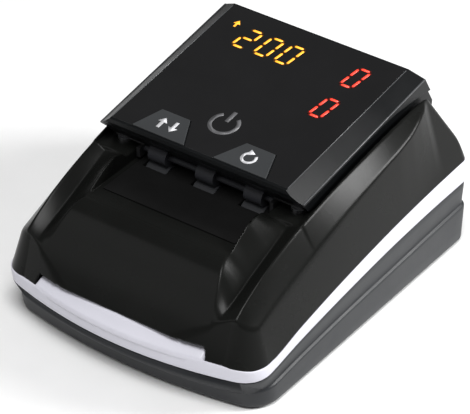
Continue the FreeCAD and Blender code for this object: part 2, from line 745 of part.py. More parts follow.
def on_lens(x, along, depth):
    """A point given across, up the slope of the lens, and above its face."""
    return LENS_CORNER + TILT.multVec(V(x, along, depth))


def lens_box(name, width, length, height, x, along, depth):
    obj = box(name, width, length, height, 0, 0, 0)
    corner = on_lens(x - obj.Length.Value / 2, along, depth)
    return place(obj, corner.x, corner.y, corner.z, TILT)


def lens_rod(name, radius, length, x, along, depth):
    base = on_lens(x, along, depth)
    return rod(name, radius, length, base.x, base.y, base.z, TILT)


SLOPE = math.tan(math.radians(d("lens_tilt")))
BEAD_FRONT, BEAD_SLOPE = 81.5, 0.156
SIDE_WALL = [(-30, 1.2), (40, 1.4), (70, 7.0), (90, 12.0)]


def head_section(y, hollow=False):
    """Right half of the head's cross-section: (x, z) points from the top down."""
    top = d("lens_height") + SLOPE * (y - d("lens_front"))
    bead = BEAD_FRONT + BEAD_SLOPE * (y + 25.0)
    if hollow:
        return [(47.0, top - 4.0), (d("head_body_half") - 2.0, bead - 2.6),
                (d("head_body_half") - 2.0, 70.0)]
    wall = between(SIDE_WALL, y)
    return [(d("lens_half") + 0.6, top), (d("head_half"), bead), (d("head_half"), bead - wall),
            (d("head_body_half"), bead - wall - 1.2), (d("head_body_half"), d("head_bottom"))]


def head_loft(hollow=False):
    wires = []
    for y in (-30, 40, 70, 90):
        right = [V(x, y, z) for x, z in head_section(y, hollow)]
        left = [V(-p.x, p.y, p.z) for p in reversed(right)]
        ring = right + left
        wires.append(Part.makePolygon(ring + [ring[0]]))
    return Part.makeLoft(wires, True, True)


def side_prism(points, reach):
    face = Part.Face(Part.makePolygon([V(-reach, y, z) for y, z in points + points[:1]]))
    return face.extrude(V(2 * reach, 0, 0))


HEAD_PROFILE = [(-27.9, 106), (-27.9, 84.2), (-26.4, 83.0), (-21.7, 72.9), (78.0, 72.9),
                (84.8, 75.3), (85.4, 79.5), (75.1, 97.1), (72.2, 102.0), (70.0, 106)]
HEAD_HOLLOW = [(-25.8, 106), (-25.8, 84.8), (-24.4, 82.4), (-19.6, 72.0), (-19.6, 70.0),
               (76.0, 70.0), (82.6, 74.0), (83.2, 79.2), (73.0, 96.2), (70.6, 99.0),
               (68.6, 106)]
head_outer = head_loft().common(side_prism(HEAD_PROFILE, 80))
head_inner = head_loft(True).common(side_prism(HEAD_HOLLOW, 80))
head_blank = free("head_blank", head_outer.cut(head_inner))

lens_pocket = lens_box("lens_pocket", "2 * dims.lens_half + 0.4", 99.4, 6.0, 0, 0.7,
                       -d("lens_thick"))
view_window = lens_box("view_window", 92.0, 90.0, 8.0, 0, 5.0, -8.0)

KEY_SIDES = {"left": -1, "right": 1}
KEY_OUTER, KEY_INNER = 38.2, 8.4          # front edge
KEY_BACK_OUTER, KEY_BACK_INNER = 32.4, 16.2
KEY_FRONT, KEY_BACK = 0.9, 16.9


def key_prism(side, grow, low, high):
    """A trapezoid key between two depths under the lens face, grown all round."""
    outline_points = [(KEY_OUTER + grow, KEY_FRONT), (KEY_INNER - grow, KEY_FRONT),
                      (KEY_BACK_INNER - grow, KEY_BACK + grow),
                      (KEY_BACK_OUTER + grow, KEY_BACK + grow)]
    ring = [on_lens(side * x, along, low) for x, along in outline_points]
    face = Part.Face(Part.makePolygon(ring + [ring[0]]))
    return face.extrude(TILT.multVec(V(0, 0, high - low)))


GUIDE_HALF = d("channel_half") - 0.8
GUIDE_LOW = 67.9
GUIDE_DEPTH = 5.2
guide_seat = box("guide_seat", 2 * GUIDE_HALF + 0.2, 4.0, GUIDE_DEPTH + 0.1, 0, -23.0, GUIDE_LOW)
POST_SPOTS = [(-47.6, 22.0), (47.6, 22.0), (-47.6, 84.0), (47.6, 84.0)]
BOARD_DEPTH = -9.0
spacers = [lens_rod("spacer_%d" % index, 2.2, 5.6, x, along, BOARD_DEPTH)
           for index, (x, along) in enumerate(POST_SPOTS)]
spacer_bores = [lens_rod("spacer_bore_%d" % index, 0.9, 4.5, x, along, BOARD_DEPTH - 0.5)
                for index, (x, along) in enumerate(POST_SPOTS)]
key_wells = [free("key_well_%s" % name, key_prism(side, d("key_gap"), -12.0, 4.0))
             for name, side in KEY_SIDES.items()]
roller_reliefs = [rod("roller_relief_%d" % index, 5.0, 11.4, x - 5.7, AXLES["front"],
                      pinch_level) for index, x in enumerate(ROLLER_PLACES)]
lug_notches = [box("lug_notch_%d" % side, LUG_OUTER - LUG_INNER + 1.4, 18.0, 12.0,
                   side * (LUG_INNER + LUG_OUTER) / 2, 71.0, 68.0) for side in (-1, 1)]
keep("head_shell", cut("head_shell", fuse("head_posted", [head_blank] + spacers),
                       [lens_pocket, view_window] + spacer_bores + key_wells
                       + roller_reliefs + lug_notches + [guide_seat]))

lens_blank = lens_box("lens_blank", "2 * dims.lens_half", "dims.lens_length - 0.6",
                      "dims.lens_thick", 0, 0.8, -d("lens_thick"))
lens_notches = [free("lens_notch_%s" % name, key_prism(side, d("key_gap"), -12.0, 4.0))
                for name, side in KEY_SIDES.items()]
lens_front_notches = [lens_box("lens_front_%s" % name, KEY_OUTER - KEY_INNER + 0.7, 1.4, 6.0,
                               side * (KEY_OUTER + KEY_INNER) / 2, 0.0, -4.0)
                      for name, side in KEY_SIDES.items()]
keep("display_lens", cut("display_lens", lens_blank, lens_notches + lens_front_notches))

for name, side in KEY_SIDES.items():
    cap = free("key_cap_%s" % name, key_prism(side, 0.0, -5.0, d("key_raise")))
    stem = lens_rod("key_stem_%s" % name, 1.6, 2.6, side * 23.3, 12.0, -7.4)
    keep(name + "_key", fuse(name + "_key", [cap, stem]))

board = lens_box("display_blank", 99.0, 86.0, "dims.board_thick", 0, 6.0,
                 BOARD_DEPTH - d("board_thick"))
board_drills = [lens_rod("display_drill_%d" % index, 0.9, 4.0, x, along, BOARD_DEPTH - 3)
                for index, (x, along) in enumerate(POST_SPOTS)]
keep("display_board", cut("display_board", board, board_drills))
display_screws = []
for index, (x, along) in enumerate(POST_SPOTS):
    under = BOARD_DEPTH - d("board_thick")
    pin = lens_rod("display_screw_pin_%d" % index, 0.9, 5.0, x, along, under)
    cap = lens_rod("display_screw_cap_%d" % index, 2.0, 1.3, x, along, under - 1.3)
    display_screws.append(fuse("display_screw_%d" % index, [pin, cap]))
keep("display_screws", group("display_screws", display_screws))
keep("key_switches", group("key_switches", [
    lens_rod("key_switch_%s" % name, 3.0, 0.7, side * 23.3, 12.0, BOARD_DEPTH)
    for name, side in KEY_SIDES.items()]))

MODULE_HEIGHT = 7.0
MODULES = {
    "currency_display": (37.6, 19.0, -17.6, 71.0),
    "count_display": (37.6, 19.0, 20.6, 71.0),
    "value_display": (50.3, 19.0, 14.2, 46.0),
    "arrow_lamp": (4.2, 4.2, -40.0, 85.2),
}
for name, (width, length, x, along) in MODULES.items():
    keep(name, lens_box(name, width, length, MODULE_HEIGHT, x, along, BOARD_DEPTH))
keep("power_touch_pad", lens_rod("power_touch_pad", 8.0, 7.0, 0.0, 26.4, BOARD_DEPTH))

# ---------------------------------------------------------------- guide under the head

guide_plate = box("guide_plate", 108.2, 98.0, 1.7, 0, -18.5, d("head_bottom") + 0.1)
guide_block = box("guide_block", 2 * GUIDE_HALF, 92.0, GUIDE_DEPTH, 0, -22.0, GUIDE_LOW)
guide_hollow = box("guide_hollow", 2 * GUIDE_HALF - 4.0, 80.0, 8.0, 0, -10.0, GUIDE_LOW + 1.8)
guide_mouth = box("guide_mouth", 2 * GUIDE_HALF - 4.0, 14.0, 12.0, 0, -24.0, 66.0)
guide_ears = lugs("guide_ear", LUG_OUTER + 0.5, LUG_OUTER + 3.5, d("lug_radius"),
                  d("head_bottom") + 0.1)
ear_bores = pair_of_rods("ear_bore", "dims.hinge_pin_radius + dims.running_gap",
                         LUG_OUTER, 56.0, d("hinge_at"), d("hinge_height"))
plate_notches = [box("plate_notch_%d" % side, LUG_OUTER - LUG_INNER + 0.9, 12.0, 12.0,
                     side * (LUG_INNER + LUG_OUTER - 0.3) / 2, 70.0, 66.0)
                 for side in (-1, 1)]
rear_windows = [box("rear_window_%d" % index, d("pinch_width") + 1.4, 12.0, 16.0, x,
                    AXLES["rear"] - 6.0, 64.0) for index, x in enumerate(ROLLER_PLACES)]
sensor_window = box("sensor_window", SENSOR_WIDTH + 0.4, SENSOR_LENGTH + 0.4, 12.0, 0,
                    SENSOR_Y - SENSOR_LENGTH / 2 - 0.2, 66.0)
pinch_bores = [rod("pinch_bore_" + name, "dims.pinch_shaft_radius + dims.running_gap", 90.0,
                   -45.0, y, pinch_level) for name, y in AXLES.items()]
keep("note_guide", cut("note_guide", fuse("guide_blank", [guide_plate, guide_block] + guide_ears),
                       [guide_hollow, guide_mouth, sensor_window] + plate_notches
                       + rear_windows + pinch_bores + ear_bores))
keep("upper_sensor_bar", box("upper_sensor_bar", SENSOR_WIDTH, SENSOR_LENGTH, 6.0, 0,
                             SENSOR_Y - SENSOR_LENGTH / 2, GUIDE_LOW + 0.1))
keep("latch_plates", group("latch_plates", posts("latch_plate", MAGNET_PLACES, 4.0, 72.6,
                                                 d("head_bottom") + 0.1)))

for name, y in AXLES.items():
    core = rod(name + "_pinch_core", "dims.pinch_shaft_radius", 2 * GUIDE_HALF - 1.0,
               -GUIDE_HALF + 0.5, y, pinch_level)
    tyres = [rod("%s_pinch_tyre_%d" % (name, index), "dims.pinch_radius", "dims.pinch_width",
                 x - d("pinch_width") / 2, y, pinch_level)
             for index, x in enumerate(ROLLER_PLACES)]
    keep(name + "_pinch_rollers", fuse(name + "_pinch_rollers", [core] + tyres))

# ---------------------------------------------------------------- checks and export

doc.recompute()
failed = [obj.Name for obj in doc.Objects if "Invalid" in obj.State or "Error" in obj.State]
if failed:
    raise RuntimeError("failed objects: " + ", ".join(failed))
for node, obj in parts.items():
    if obj.Shape.isNull() or not obj.Shape.isValid():
        raise RuntimeError("bad shape: " + node)

os.makedirs("parts", exist_ok=True)
for node, obj in parts.items():
    obj.Shape.exportStep("parts/%s.step" % node)
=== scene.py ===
import math

import bmesh
import bpy
import numpy as np
from mathutils import Matrix, Vector


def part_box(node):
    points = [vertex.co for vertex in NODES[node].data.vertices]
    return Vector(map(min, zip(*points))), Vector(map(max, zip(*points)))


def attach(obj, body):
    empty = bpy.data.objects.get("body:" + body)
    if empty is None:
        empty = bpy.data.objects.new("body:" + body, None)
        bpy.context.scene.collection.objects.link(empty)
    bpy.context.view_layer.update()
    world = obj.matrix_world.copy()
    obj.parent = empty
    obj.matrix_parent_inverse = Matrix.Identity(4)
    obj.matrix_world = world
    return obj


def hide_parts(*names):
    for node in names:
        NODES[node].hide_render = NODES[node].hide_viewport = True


# Counterfeit bill detector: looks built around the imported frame.
# Shapes are worked out in millimetres in the part's own frame, and made in metres.

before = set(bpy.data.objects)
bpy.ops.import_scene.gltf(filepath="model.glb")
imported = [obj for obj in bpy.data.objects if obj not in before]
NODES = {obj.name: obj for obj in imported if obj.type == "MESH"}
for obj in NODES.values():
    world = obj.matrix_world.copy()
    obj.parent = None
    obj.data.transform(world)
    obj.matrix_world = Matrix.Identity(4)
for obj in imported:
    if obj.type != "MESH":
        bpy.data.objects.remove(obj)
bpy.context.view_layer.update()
MM = 0.001


def mm_box(node):
    """A CAD node's lowest and highest corners, in millimetres."""
    low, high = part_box(node)
    return low / MM, high / MM


# ------------------------ curves

def curve(points):
    """A smooth curve through (position, value) points that doesn't overshoot them."""
    px = np.array([p[0] for p in points], float)
    pv = np.array([p[1] for p in points], float)
    step = np.diff(px)
    slope = np.diff(pv) / step
    tangent = np.zeros(len(px))
    tangent[0], tangent[-1] = slope[0], slope[-1]
    for i in range(1, len(px) - 1):
        if slope[i - 1] * slope[i] > 0:
            tangent[i] = 2 * slope[i - 1] * slope[i] / (slope[i - 1] + slope[i])

    def value(at):
        at = np.clip(np.asarray(at, float), px[0], px[-1])
        i = np.clip(np.searchsorted(px, at, side="right") - 1, 0, len(px) - 2)
        t = (at - px[i]) / step[i]
        h00 = (1 + 2 * t) * (1 - t) ** 2
        h10 = t * (1 - t) ** 2
        h01 = t * t * (3 - 2 * t)
        h11 = t * t * (t - 1)
        return (h00 * pv[i] + h10 * step[i] * tangent[i]
                + h01 * pv[i + 1] + h11 * step[i] * tangent[i + 1])

    return value


def smooth_step(low, high, at):
    """0 up to low and 1 from high on, with an even change between them."""
    t = np.clip((np.asarray(at, float) - low) / (high - low), 0.0, 1.0)
    return t * t * (3 - 2 * t)


def smooth_max(a, b, radius):
    """The larger of two fields, with the corner between them rounded."""
    h = np.clip(0.5 + 0.5 * (a - b) / radius, 0.0, 1.0)
    return b + (a - b) * h + radius * h * (1 - h)


# Side-view curves of the casing, front to rear: (y, z).
band_low = curve([(-99, 19.7), (-80, 19.7), (-71, 20.7), (-48, 24.9), (-7, 30.1),
                  (34, 33.8), (69, 35.3), (99, 35.7)])
band_high = curve([(-99, 29.4), (-90, 28.9), (-79, 26.6), (-70, 26.7), (-47, 31.8),
                   (-7, 38.9), (35, 44.3), (69, 47.0), (99, 48.4)])
ledge_line = curve([(-99, 9.5), (-80, 10.5), (-68, 11.7), (-49, 14.0), (-7.6, 17.3),
                    (34.6, 19.3), (60.6, 20.5), (99, 21.8)])
ridge_line = curve([(-92, 40.8), (-82, 48.4), (-74, 54.1), (-66.4, 58.4), (-58.7, 62.3),
                    (-50.7, 65.6), (-41.9, 68.7), (-33.1, 71.4), (-12.6, 76.4), (3.4, 79.5),
                    (36, 84.4), (53, 86.3), (66, 87.2), (76, 87.0), (99, 87.0)])
shoulder_line = curve([(-99, 40.0), (-89.4, 41.4), (-75.7, 44.2), (-60.3, 49.3),
                       (-40.7, 55.6), (-21, 62.3), (0, 69.0), (23.4, 75.1), (40, 78.8),
                       (52.7, 81.4), (62, 84.0), (72, 85.6), (99, 86.0)])
ramp_line = curve([(-99, 20.0), (-92, 31.0), (-88.5, 36.5), (-83.4, 43.9), (-77.1, 51.9),
                   (-70.7, 59.6), (-67.1, 63.0), (-63.0, 65.2), (-59.6, 66.05),
                   (99, 66.05)])
# How far out the rail's chamfer reaches: it narrows to nothing at the rear.
shoulder_place = curve([(-99, 67.7), (38, 67.7), (50, 67.0), (60, 65.2), (68, 62.8),
                        (75, 60.0), (99, 59.9)])
guide_line = curve([(-99, 66.05), (-59.6, 66.05), (-50, 71.0), (-42, 75.0), (-37, 75.8),
                    (-32, 74.5), (-28.5, 71.5), (99, 71.5)])

# ------------------------ casing outline

CORNER = 15.0
REAR_CORNER = 5.5
HALF = 73.4
APEX = -95.1
REAR = 95.2
BOW = 0.00247
# Heights at which the casing's plan changes: how far the front apex is behind the
# foremost point, the half width lost, and the bow of the front.
LEVELS = [(0.0, 10.5, 0.6, 0.00172), (11.0, 8.0, 0.3, 0.00195), (19.7, 1.3, 0.0, BOW),
          (29.4, 0.0, 0.0, BOW), (43.0, 0.0, 0.2, BOW), (110.0, 0.0, 0.2, BOW)]
# Shares of the way round the outline's right half at which its stretches end.
FRONT_END, CORNER_END, SIDE_END, REAR_CORNER_END = 0.3, 0.4, 0.75, 0.85


def level_at(height):
    """The casing's plan at a height, as a row of LEVELS."""
    for low, high in zip(LEVELS, LEVELS[1:]):
        if height <= high[0]:
            t = max(0.0, (height - low[0]) / (high[0] - low[0]))
            return [a + (b - a) * t for a, b in zip(low, high)]
    return list(LEVELS[-1])


def outline_point(turn, height, inset=0.0):
    """A point of the casing's outline. turn runs 0..1 from front centre, by the right side,
    to rear centre."""
    _, setback, draft, bow = level_at(height)
    half = HALF - draft - CORNER
    radius = CORNER - inset
    front = APEX + setback + CORNER
    rear_radius = max(0.3, REAR_CORNER - inset)
    rear = REAR - draft - inset - rear_radius
    corner = front + bow * half * half
    if turn < FRONT_END:
        x = half * turn / FRONT_END
        centre = (x, front + bow * x * x)
        angle = math.atan(2 * bow * x) - math.pi / 2
    elif turn < CORNER_END:
        share = (turn - FRONT_END) / (CORNER_END - FRONT_END)
        centre = (half, corner)
        angle = (math.atan(2 * bow * half) - math.pi / 2) * (1 - share)
    elif turn < SIDE_END:
        share = (turn - CORNER_END) / (SIDE_END - CORNER_END)
        centre = (half, corner + (rear - corner) * share)
        angle = 0.0
    else:
        share = max(0.0, (turn - REAR_CORNER_END) / (1 - REAR_CORNER_END))
        centre = ((half + radius - rear_radius) * (1 - share), rear)
        swing = min(1.0, (turn - SIDE_END) / (REAR_CORNER_END - SIDE_END))
        angle = math.pi / 2 * swing
        radius = rear_radius
    return centre[0] + radius * math.cos(angle), centre[1] + radius * math.sin(angle)


def turns():
    """Places round the right half of the outline, closer together on the corners."""
    made = []
    ends = (0.0, FRONT_END, CORNER_END, SIDE_END, REAR_CORNER_END, 1.0)
    for low, high, count in zip(ends, ends[1:], (18, 10, 30, 10, 6)):
        made += [low + (high - low) * i / count for i in range(count)]
    return made + [1.0]


def corner_distance(side, end, radius):
    """Distance past a rounded corner, from the distances past its two sides."""
    return (np.hypot(np.maximum(side + radius, 0), np.maximum(end + radius, 0))
            + np.minimum(np.maximum(side, end) + radius, 0) - radius)


def outline_distance(x, y, half, apex, rear):
    """Signed distance, in plan, to a rounded outline with a bowed front."""
    across = np.abs(x)
    side = across - half
    front = apex + BOW * np.minimum(across, half - CORNER) ** 2 - y
    return np.where(y < 0, corner_distance(side, front, CORNER),
                    corner_distance(side, y - rear, REAR_CORNER))


# ------------------------ mesh helpers

# A band's height depends on its depth and the other way round, so a few rounds settle both.
SETTLING_ROUNDS = 3


def make_piece(name, verts, faces, body, material, smooth=True, replaces=()):
    """A mesh object from millimetre vertices, riding on a body."""
    mesh = bpy.data.meshes.new(name)
    mesh.from_pydata([(x * MM, y * MM, z * MM) for x, y, z in verts], [],
                     [tuple(int(i) for i in f) for f in faces])
    mesh.update()
    obj = bpy.data.objects.new(name, mesh)
    bpy.context.scene.collection.objects.link(obj)
    return dress(obj, body, material, smooth, replaces)


def dress(obj, body, material, smooth=True, replaces=()):
    mesh = obj.data
    bm = bmesh.new()
    bm.from_mesh(mesh)
    bmesh.ops.remove_doubles(bm, verts=bm.verts, dist=1e-6)
    bmesh.ops.recalc_face_normals(bm, faces=bm.faces)
    bm.to_mesh(mesh)
    bm.free()
    mesh.materials.clear()
    mesh.materials.append(material)
    for polygon in mesh.polygons:
        polygon.use_smooth = smooth
    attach(obj, body)
    if replaces:
        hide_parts(*replaces)
    return obj


def bevel(obj, width, segments=3, angle=25.0):
    mod = obj.modifiers.new("edges", "BEVEL")
    mod.width = width * MM
    mod.segments = segments
    mod.limit_method = "ANGLE"
    mod.angle_limit = math.radians(angle)
    mod.harden_normals = True
    mod.use_clamp_overlap = True
    return obj


def bake(obj):
    """Applies the object's modifiers, so that its mesh is what shows."""
    depsgraph = bpy.context.evaluated_depsgraph_get()
    mesh = bpy.data.meshes.new_from_object(obj.evaluated_get(depsgraph))
    obj.modifiers.clear()
    obj.data = mesh
    return obj


def grid_faces(rows, columns, closed=False):
    """Quads between rows of vertices, which close on themselves if asked."""
    made = []
    for r in range(rows - 1):
        for c in range(columns if closed else columns - 1):
            n = (c + 1) % columns
            made.append((r * columns + c, r * columns + n, (r + 1) * columns + n,
                         (r + 1) * columns + c))
    return made


def prism_faces(count):
    """Two caps and the sides between two like outlines, one after the other."""
    faces = [tuple(reversed(range(count))), tuple(range(count, 2 * count))]
    return faces + [(i, (i + 1) % count, (i + 1) % count + count, i + count)
                    for i in range(count)]


def tube_faces(sections, count):
    """A closed tube through like sections of count vertices, with a cap on each end."""
    last = (sections - 1) * count
    return grid_faces(sections, count, True) + [
        tuple(range(count)), tuple(last + i for i in reversed(range(count)))]


def ring_piece(name, rows, body, material, replaces=()):
    """A closed band round the casing. Each row gives (z, inset) for a depth y."""
    right = turns()
    verts = []
    for row in rows:
        half = []
        for turn in right:
            x, y = outline_point(turn, 0.0)
            z, inset = row(y)
            for _ in range(SETTLING_ROUNDS):
                x, y = outline_point(turn, z, inset)
                z, inset = row(y)
            half.append((x, y, z))
        verts += half + [(-x, y, z) for x, y, z in reversed(half[1:-1])]
    columns = 2 * len(right) - 2
    faces = grid_faces(len(rows), columns, True)
    last = (len(rows) - 1) * columns
    for c in range(columns):
        n = (c + 1) % columns
        faces.append((last + c, last + n, n, c))
    return make_piece(name, verts, faces, body, material, True, replaces)


def surface_net(field, origin, step):
    """A quad mesh of the zero level of a sampled field, negative inside."""
    inside = field < 0
    nx, ny, nz = field.shape
    corner_sum = np.zeros((nx - 1, ny - 1, nz - 1), np.int8)
    for i in (0, 1):
        for j in (0, 1):
            for k in (0, 1):
                corner_sum += inside[i:nx - 1 + i, j:ny - 1 + j, k:nz - 1 + k]
    cells = np.argwhere((corner_sum > 0) & (corner_sum < 8))
    index = -np.ones(corner_sum.shape, np.int64)
    index[tuple(cells.T)] = np.arange(len(cells))
    total = np.zeros((len(cells), 3))
    count = np.zeros(len(cells))
    for axis in range(3):
        u, v = [a for a in range(3) if a != axis]
        for du in (0, 1):
            for dv in (0, 1):
                start = cells.copy()
                start[:, u] += du
                start[:, v] += dv
                end = start.copy()
                end[:, axis] += 1
                a = field[tuple(start.T)]
                b = field[tuple(end.T)]
                crossed = (a < 0) != (b < 0)
                t = np.where(crossed, a / np.where(crossed, a - b, 1.0), 0.0)
                point = start.astype(float)
                point[:, axis] += t
                total += point * crossed[:, None]
                count += crossed
    verts = total / count[:, None] * step + np.array(origin)
    quads = []
    for axis in range(3):
        u, v = [a for a in range(3) if a != axis]
        low = [slice(None)] * 3
        high = [slice(None)] * 3
        low[axis] = slice(0, -1)
        high[axis] = slice(1, None)
        a, b = inside[tuple(low)], inside[tuple(high)]
        edges = np.argwhere(a != b)
        keep = (edges[:, u] > 0) & (edges[:, v] > 0)
        keep &= (edges[:, u] < field.shape[u] - 1) & (edges[:, v] < field.shape[v] - 1)
        edges = edges[keep]
        around = []
        for du, dv in ((0, 0), (-1, 0), (-1, -1), (0, -1)):
            cell = edges.copy()
            cell[:, u] += du
            cell[:, v] += dv
            around.append(index[tuple(cell.T)])
        quad = np.stack(around, 1)
        flip = a[tuple(edges.T)] != (axis == 1)
        quad[flip] = quad[flip][:, ::-1]
        quads.append(quad)
    return verts, np.concatenate(quads)


# ------------------------ materials

def nodes_of(name):
    """A new material, its tree and shader, and the place on the object."""
    material = bpy.data.materials.new(name)
    material.use_nodes = True
    tree = material.node_tree
    shader = tree.nodes["Principled BSDF"]
    place = tree.nodes.new("ShaderNodeTexCoord").outputs["Object"]
    return material, tree, shader, place


def noise(tree, place, scale, detail=3.0, rough=0.55):
    made = tree.nodes.new("ShaderNodeTexNoise")
    made.inputs["Scale"].default_value = scale
    made.inputs["Detail"].default_value = detail
    made.inputs["Roughness"].default_value = rough
    tree.links.new(place, made.inputs["Vector"])
    return made.outputs["Fac"]


def spread(tree, value, low, high):
    """Maps a noise value, which mostly lies near a half, to a range."""
    made = tree.nodes.new("ShaderNodeMapRange")
    made.inputs["From Min"].default_value = 0.25
    made.inputs["From Max"].default_value = 0.75
    made.inputs["To Min"].default_value = low
    made.inputs["To Max"].default_value = high
    tree.links.new(value, made.inputs["Value"])
    return made.outputs["Result"]


def two_colours(tree, value, first, second):
    """Mixes two colours by a 0..1 value."""
    made = tree.nodes.new("ShaderNodeMix")
    made.data_type = "RGBA"
    made.inputs["A"].default_value = (*first, 1)
    made.inputs["B"].default_value = (*second, 1)
    tree.links.new(value, made.inputs["Factor"])
    return made.outputs["Result"]


def plastic(name, colour, rough, grain=2600.0, bump=0.02, mottle=0.12, coat=0.0,
            coat_rough=0.1, haze=0.06, specular=0.5):
    """Moulded plastic: fine spark-eroded grain, faint mottling, and handling haze."""
    material, tree, shader, place = nodes_of(name)
    broad = noise(tree, place, 38.0, 4.0)
    fine = noise(tree, place, grain, 2.0, 0.5)
    dark = tuple(c * (1 - mottle) for c in colour)
    light = tuple(min(1.0, c * (1 + mottle)) for c in colour)
    mixed = two_colours(tree, spread(tree, broad, 0.0, 1.0), dark, light)
    tree.links.new(mixed, shader.inputs["Base Color"])
    tree.links.new(spread(tree, broad, rough - haze, rough + haze),
                   shader.inputs["Roughness"])
    lift = tree.nodes.new("ShaderNodeBump")
    lift.inputs["Strength"].default_value = 1.0
    lift.inputs["Distance"].default_value = bump * MM
    tree.links.new(fine, lift.inputs["Height"])
    tree.links.new(lift.outputs["Normal"], shader.inputs["Normal"])
    shader.inputs["Specular IOR Level"].default_value = specular
    shader.inputs["Coat Weight"].default_value = coat
    shader.inputs["Coat Roughness"].default_value = coat_rough
    return material


def metal(name, colour, rough, brush=(30.0, 900.0, 900.0)):
    """Drawn or plated metal with fine lines along X."""
    material, tree, shader, place = nodes_of(name)
    stretch = tree.nodes.new("ShaderNodeMapping")
    stretch.inputs["Scale"].default_value = brush
    tree.links.new(place, stretch.inputs["Vector"])
    lines = noise(tree, stretch.outputs["Vector"], 1.0, 3.0)
    dark = tuple(c * 0.8 for c in colour)
    tree.links.new(two_colours(tree, spread(tree, lines, 0.0, 1.0), dark, colour),
                   shader.inputs["Base Color"])
    tree.links.new(spread(tree, lines, rough - 0.08, rough + 0.1),
                   shader.inputs["Roughness"])
    lift = tree.nodes.new("ShaderNodeBump")
    lift.inputs["Distance"].default_value = 0.01 * MM
    tree.links.new(lines, lift.inputs["Height"])
    tree.links.new(lift.outputs["Normal"], shader.inputs["Normal"])
    shader.inputs["Metallic"].default_value = 1.0
    return material


def glow(name, colour, strength):
    """A lit segment, with a slight cloudiness of tone."""
    material, tree, shader, place = nodes_of(name)
    cloud = noise(tree, place, 700.0, 2.0)
    tree.links.new(two_colours(tree, cloud, tuple(c * 0.85 for c in colour), colour),
                   shader.inputs["Emission Color"])
    tree.links.new(two_colours(tree, cloud, tuple(c * 0.4 for c in colour), colour),
                   shader.inputs["Base Color"])
    tree.links.new(spread(tree, cloud, 0.3, 0.4), shader.inputs["Roughness"])
    shader.inputs["Emission Strength"].default_value = strength
    return material


def halo(name, colour, strength, base):
    """The lens round a lit segment: light that fades outward by the glow attribute."""
    material, tree, shader, place = nodes_of(name)
    shader.inputs["Base Color"].default_value = (*base, 1)
    shader.inputs["Roughness"].default_value = 0.12
    reach = tree.nodes.new("ShaderNodeAttribute")
    reach.attribute_name = "glow"
    power = tree.nodes.new("ShaderNodeMath")
    power.operation = "POWER"
    power.inputs[1].default_value = 2.2
    tree.links.new(reach.outputs["Fac"], power.inputs[0])
    cloud = noise(tree, place, 260.0, 2.0)
    scale = tree.nodes.new("ShaderNodeMath")
    scale.operation = "MULTIPLY"
    tree.links.new(power.outputs[0], scale.inputs[0])
    tree.links.new(spread(tree, cloud, 0.8, 1.2), scale.inputs[1])
    lit = two_colours(tree, scale.outputs[0], (0, 0, 0), colour)
    tree.links.new(lit, shader.inputs["Emission Color"])
    shader.inputs["Emission Strength"].default_value = strength
    return material


GLOSS_BLACK = plastic("gloss_black", (0.0062, 0.0065, 0.0060), 0.27, 2400.0, 0.006, 0.12,
                      haze=0.03, specular=0.1)
TRAY_BLACK = plastic("tray_black", (0.007, 0.007, 0.007), 0.36, 2200.0, 0.01,
                     specular=0.22)
HEAD_GREY = plastic("head_grey", (0.005, 0.0055, 0.006), 0.32, 2200.0, 0.008, 0.1,
                    specular=0.12)
LENS_BLACK = plastic("lens_black", (0.0045, 0.0045, 0.005), 0.10, 300.0, 0.002, 0.2, 0.3,
                     0.05, haze=0.03)
KEY_GREY = plastic("key_grey", (0.032, 0.034, 0.036), 0.36, 2400.0, 0.01)
BASE_GREY = plastic("base_grey", (0.014, 0.0155, 0.018), 0.40, 2000.0, 0.02, 0.1,
                    specular=0.3)
PALE = plastic("pale_strip", (0.60, 0.595, 0.66), 0.40, 2200.0, 0.012, 0.03)
MATTE_BLACK = plastic("matte_black", (0.012, 0.012, 0.013), 0.5, 1800.0, 0.03)
# The lighter grey of the head's fine edge lines is a painted highlight, where these edges
# catch the light.
EDGE_HIGHLIGHT_GREY = plastic("edge_highlight_grey", (0.05, 0.052, 0.055), 0.3, 2400.0, 0.004)
WHITE_PRINT = plastic("white_print", (0.62, 0.62, 0.64), 0.45, 3000.0, 0.004, 0.05)
GREY_PRINT = plastic("grey_print", (0.10, 0.10, 0.105), 0.4, 3000.0, 0.004, 0.05)
RUBBER = plastic("rubber_black", (0.02, 0.02, 0.02), 0.8, 1500.0, 0.06)
ROLLER = plastic("roller_rubber", (0.012, 0.013, 0.016), 0.72, 1500.0, 0.08)
PINCH = plastic("pinch_rubber", (0.018, 0.019, 0.024), 0.7, 1500.0, 0.08)
PULLEY = plastic("pulley_plastic", (0.6, 0.6, 0.56), 0.45)
BOARD = plastic("circuit_board", (0.012, 0.10, 0.045), 0.35, 700.0, 0.03, 0.3)
CELL = plastic("cell_wrap", (0.03, 0.10, 0.30), 0.35, 900.0, 0.02)
SENSOR = plastic("sensor_window", (0.03, 0.004, 0.008), 0.12, 500.0, 0.004)
STEEL = metal("bright_steel", (0.62, 0.62, 0.64), 0.28)
ZINC = metal("zinc_sheet", (0.50, 0.51, 0.54), 0.42, (200.0, 200.0, 200.0))
BRONZE = metal("sintered_bronze", (0.55, 0.36, 0.17), 0.45, (900.0, 900.0, 900.0))
AMBER = glow("amber_segment", (1.0, 0.42, 0.03), 1.35)
RED = glow("red_segment", (1.0, 0.055, 0.03), 1.35)
AMBER_HALO = halo("amber_halo", (0.55, 0.20, 0.0), 0.5, (0.006, 0.006, 0.006))
RED_HALO = halo("red_halo", (0.75, 0.03, 0.01), 0.55, (0.006, 0.006, 0.006))

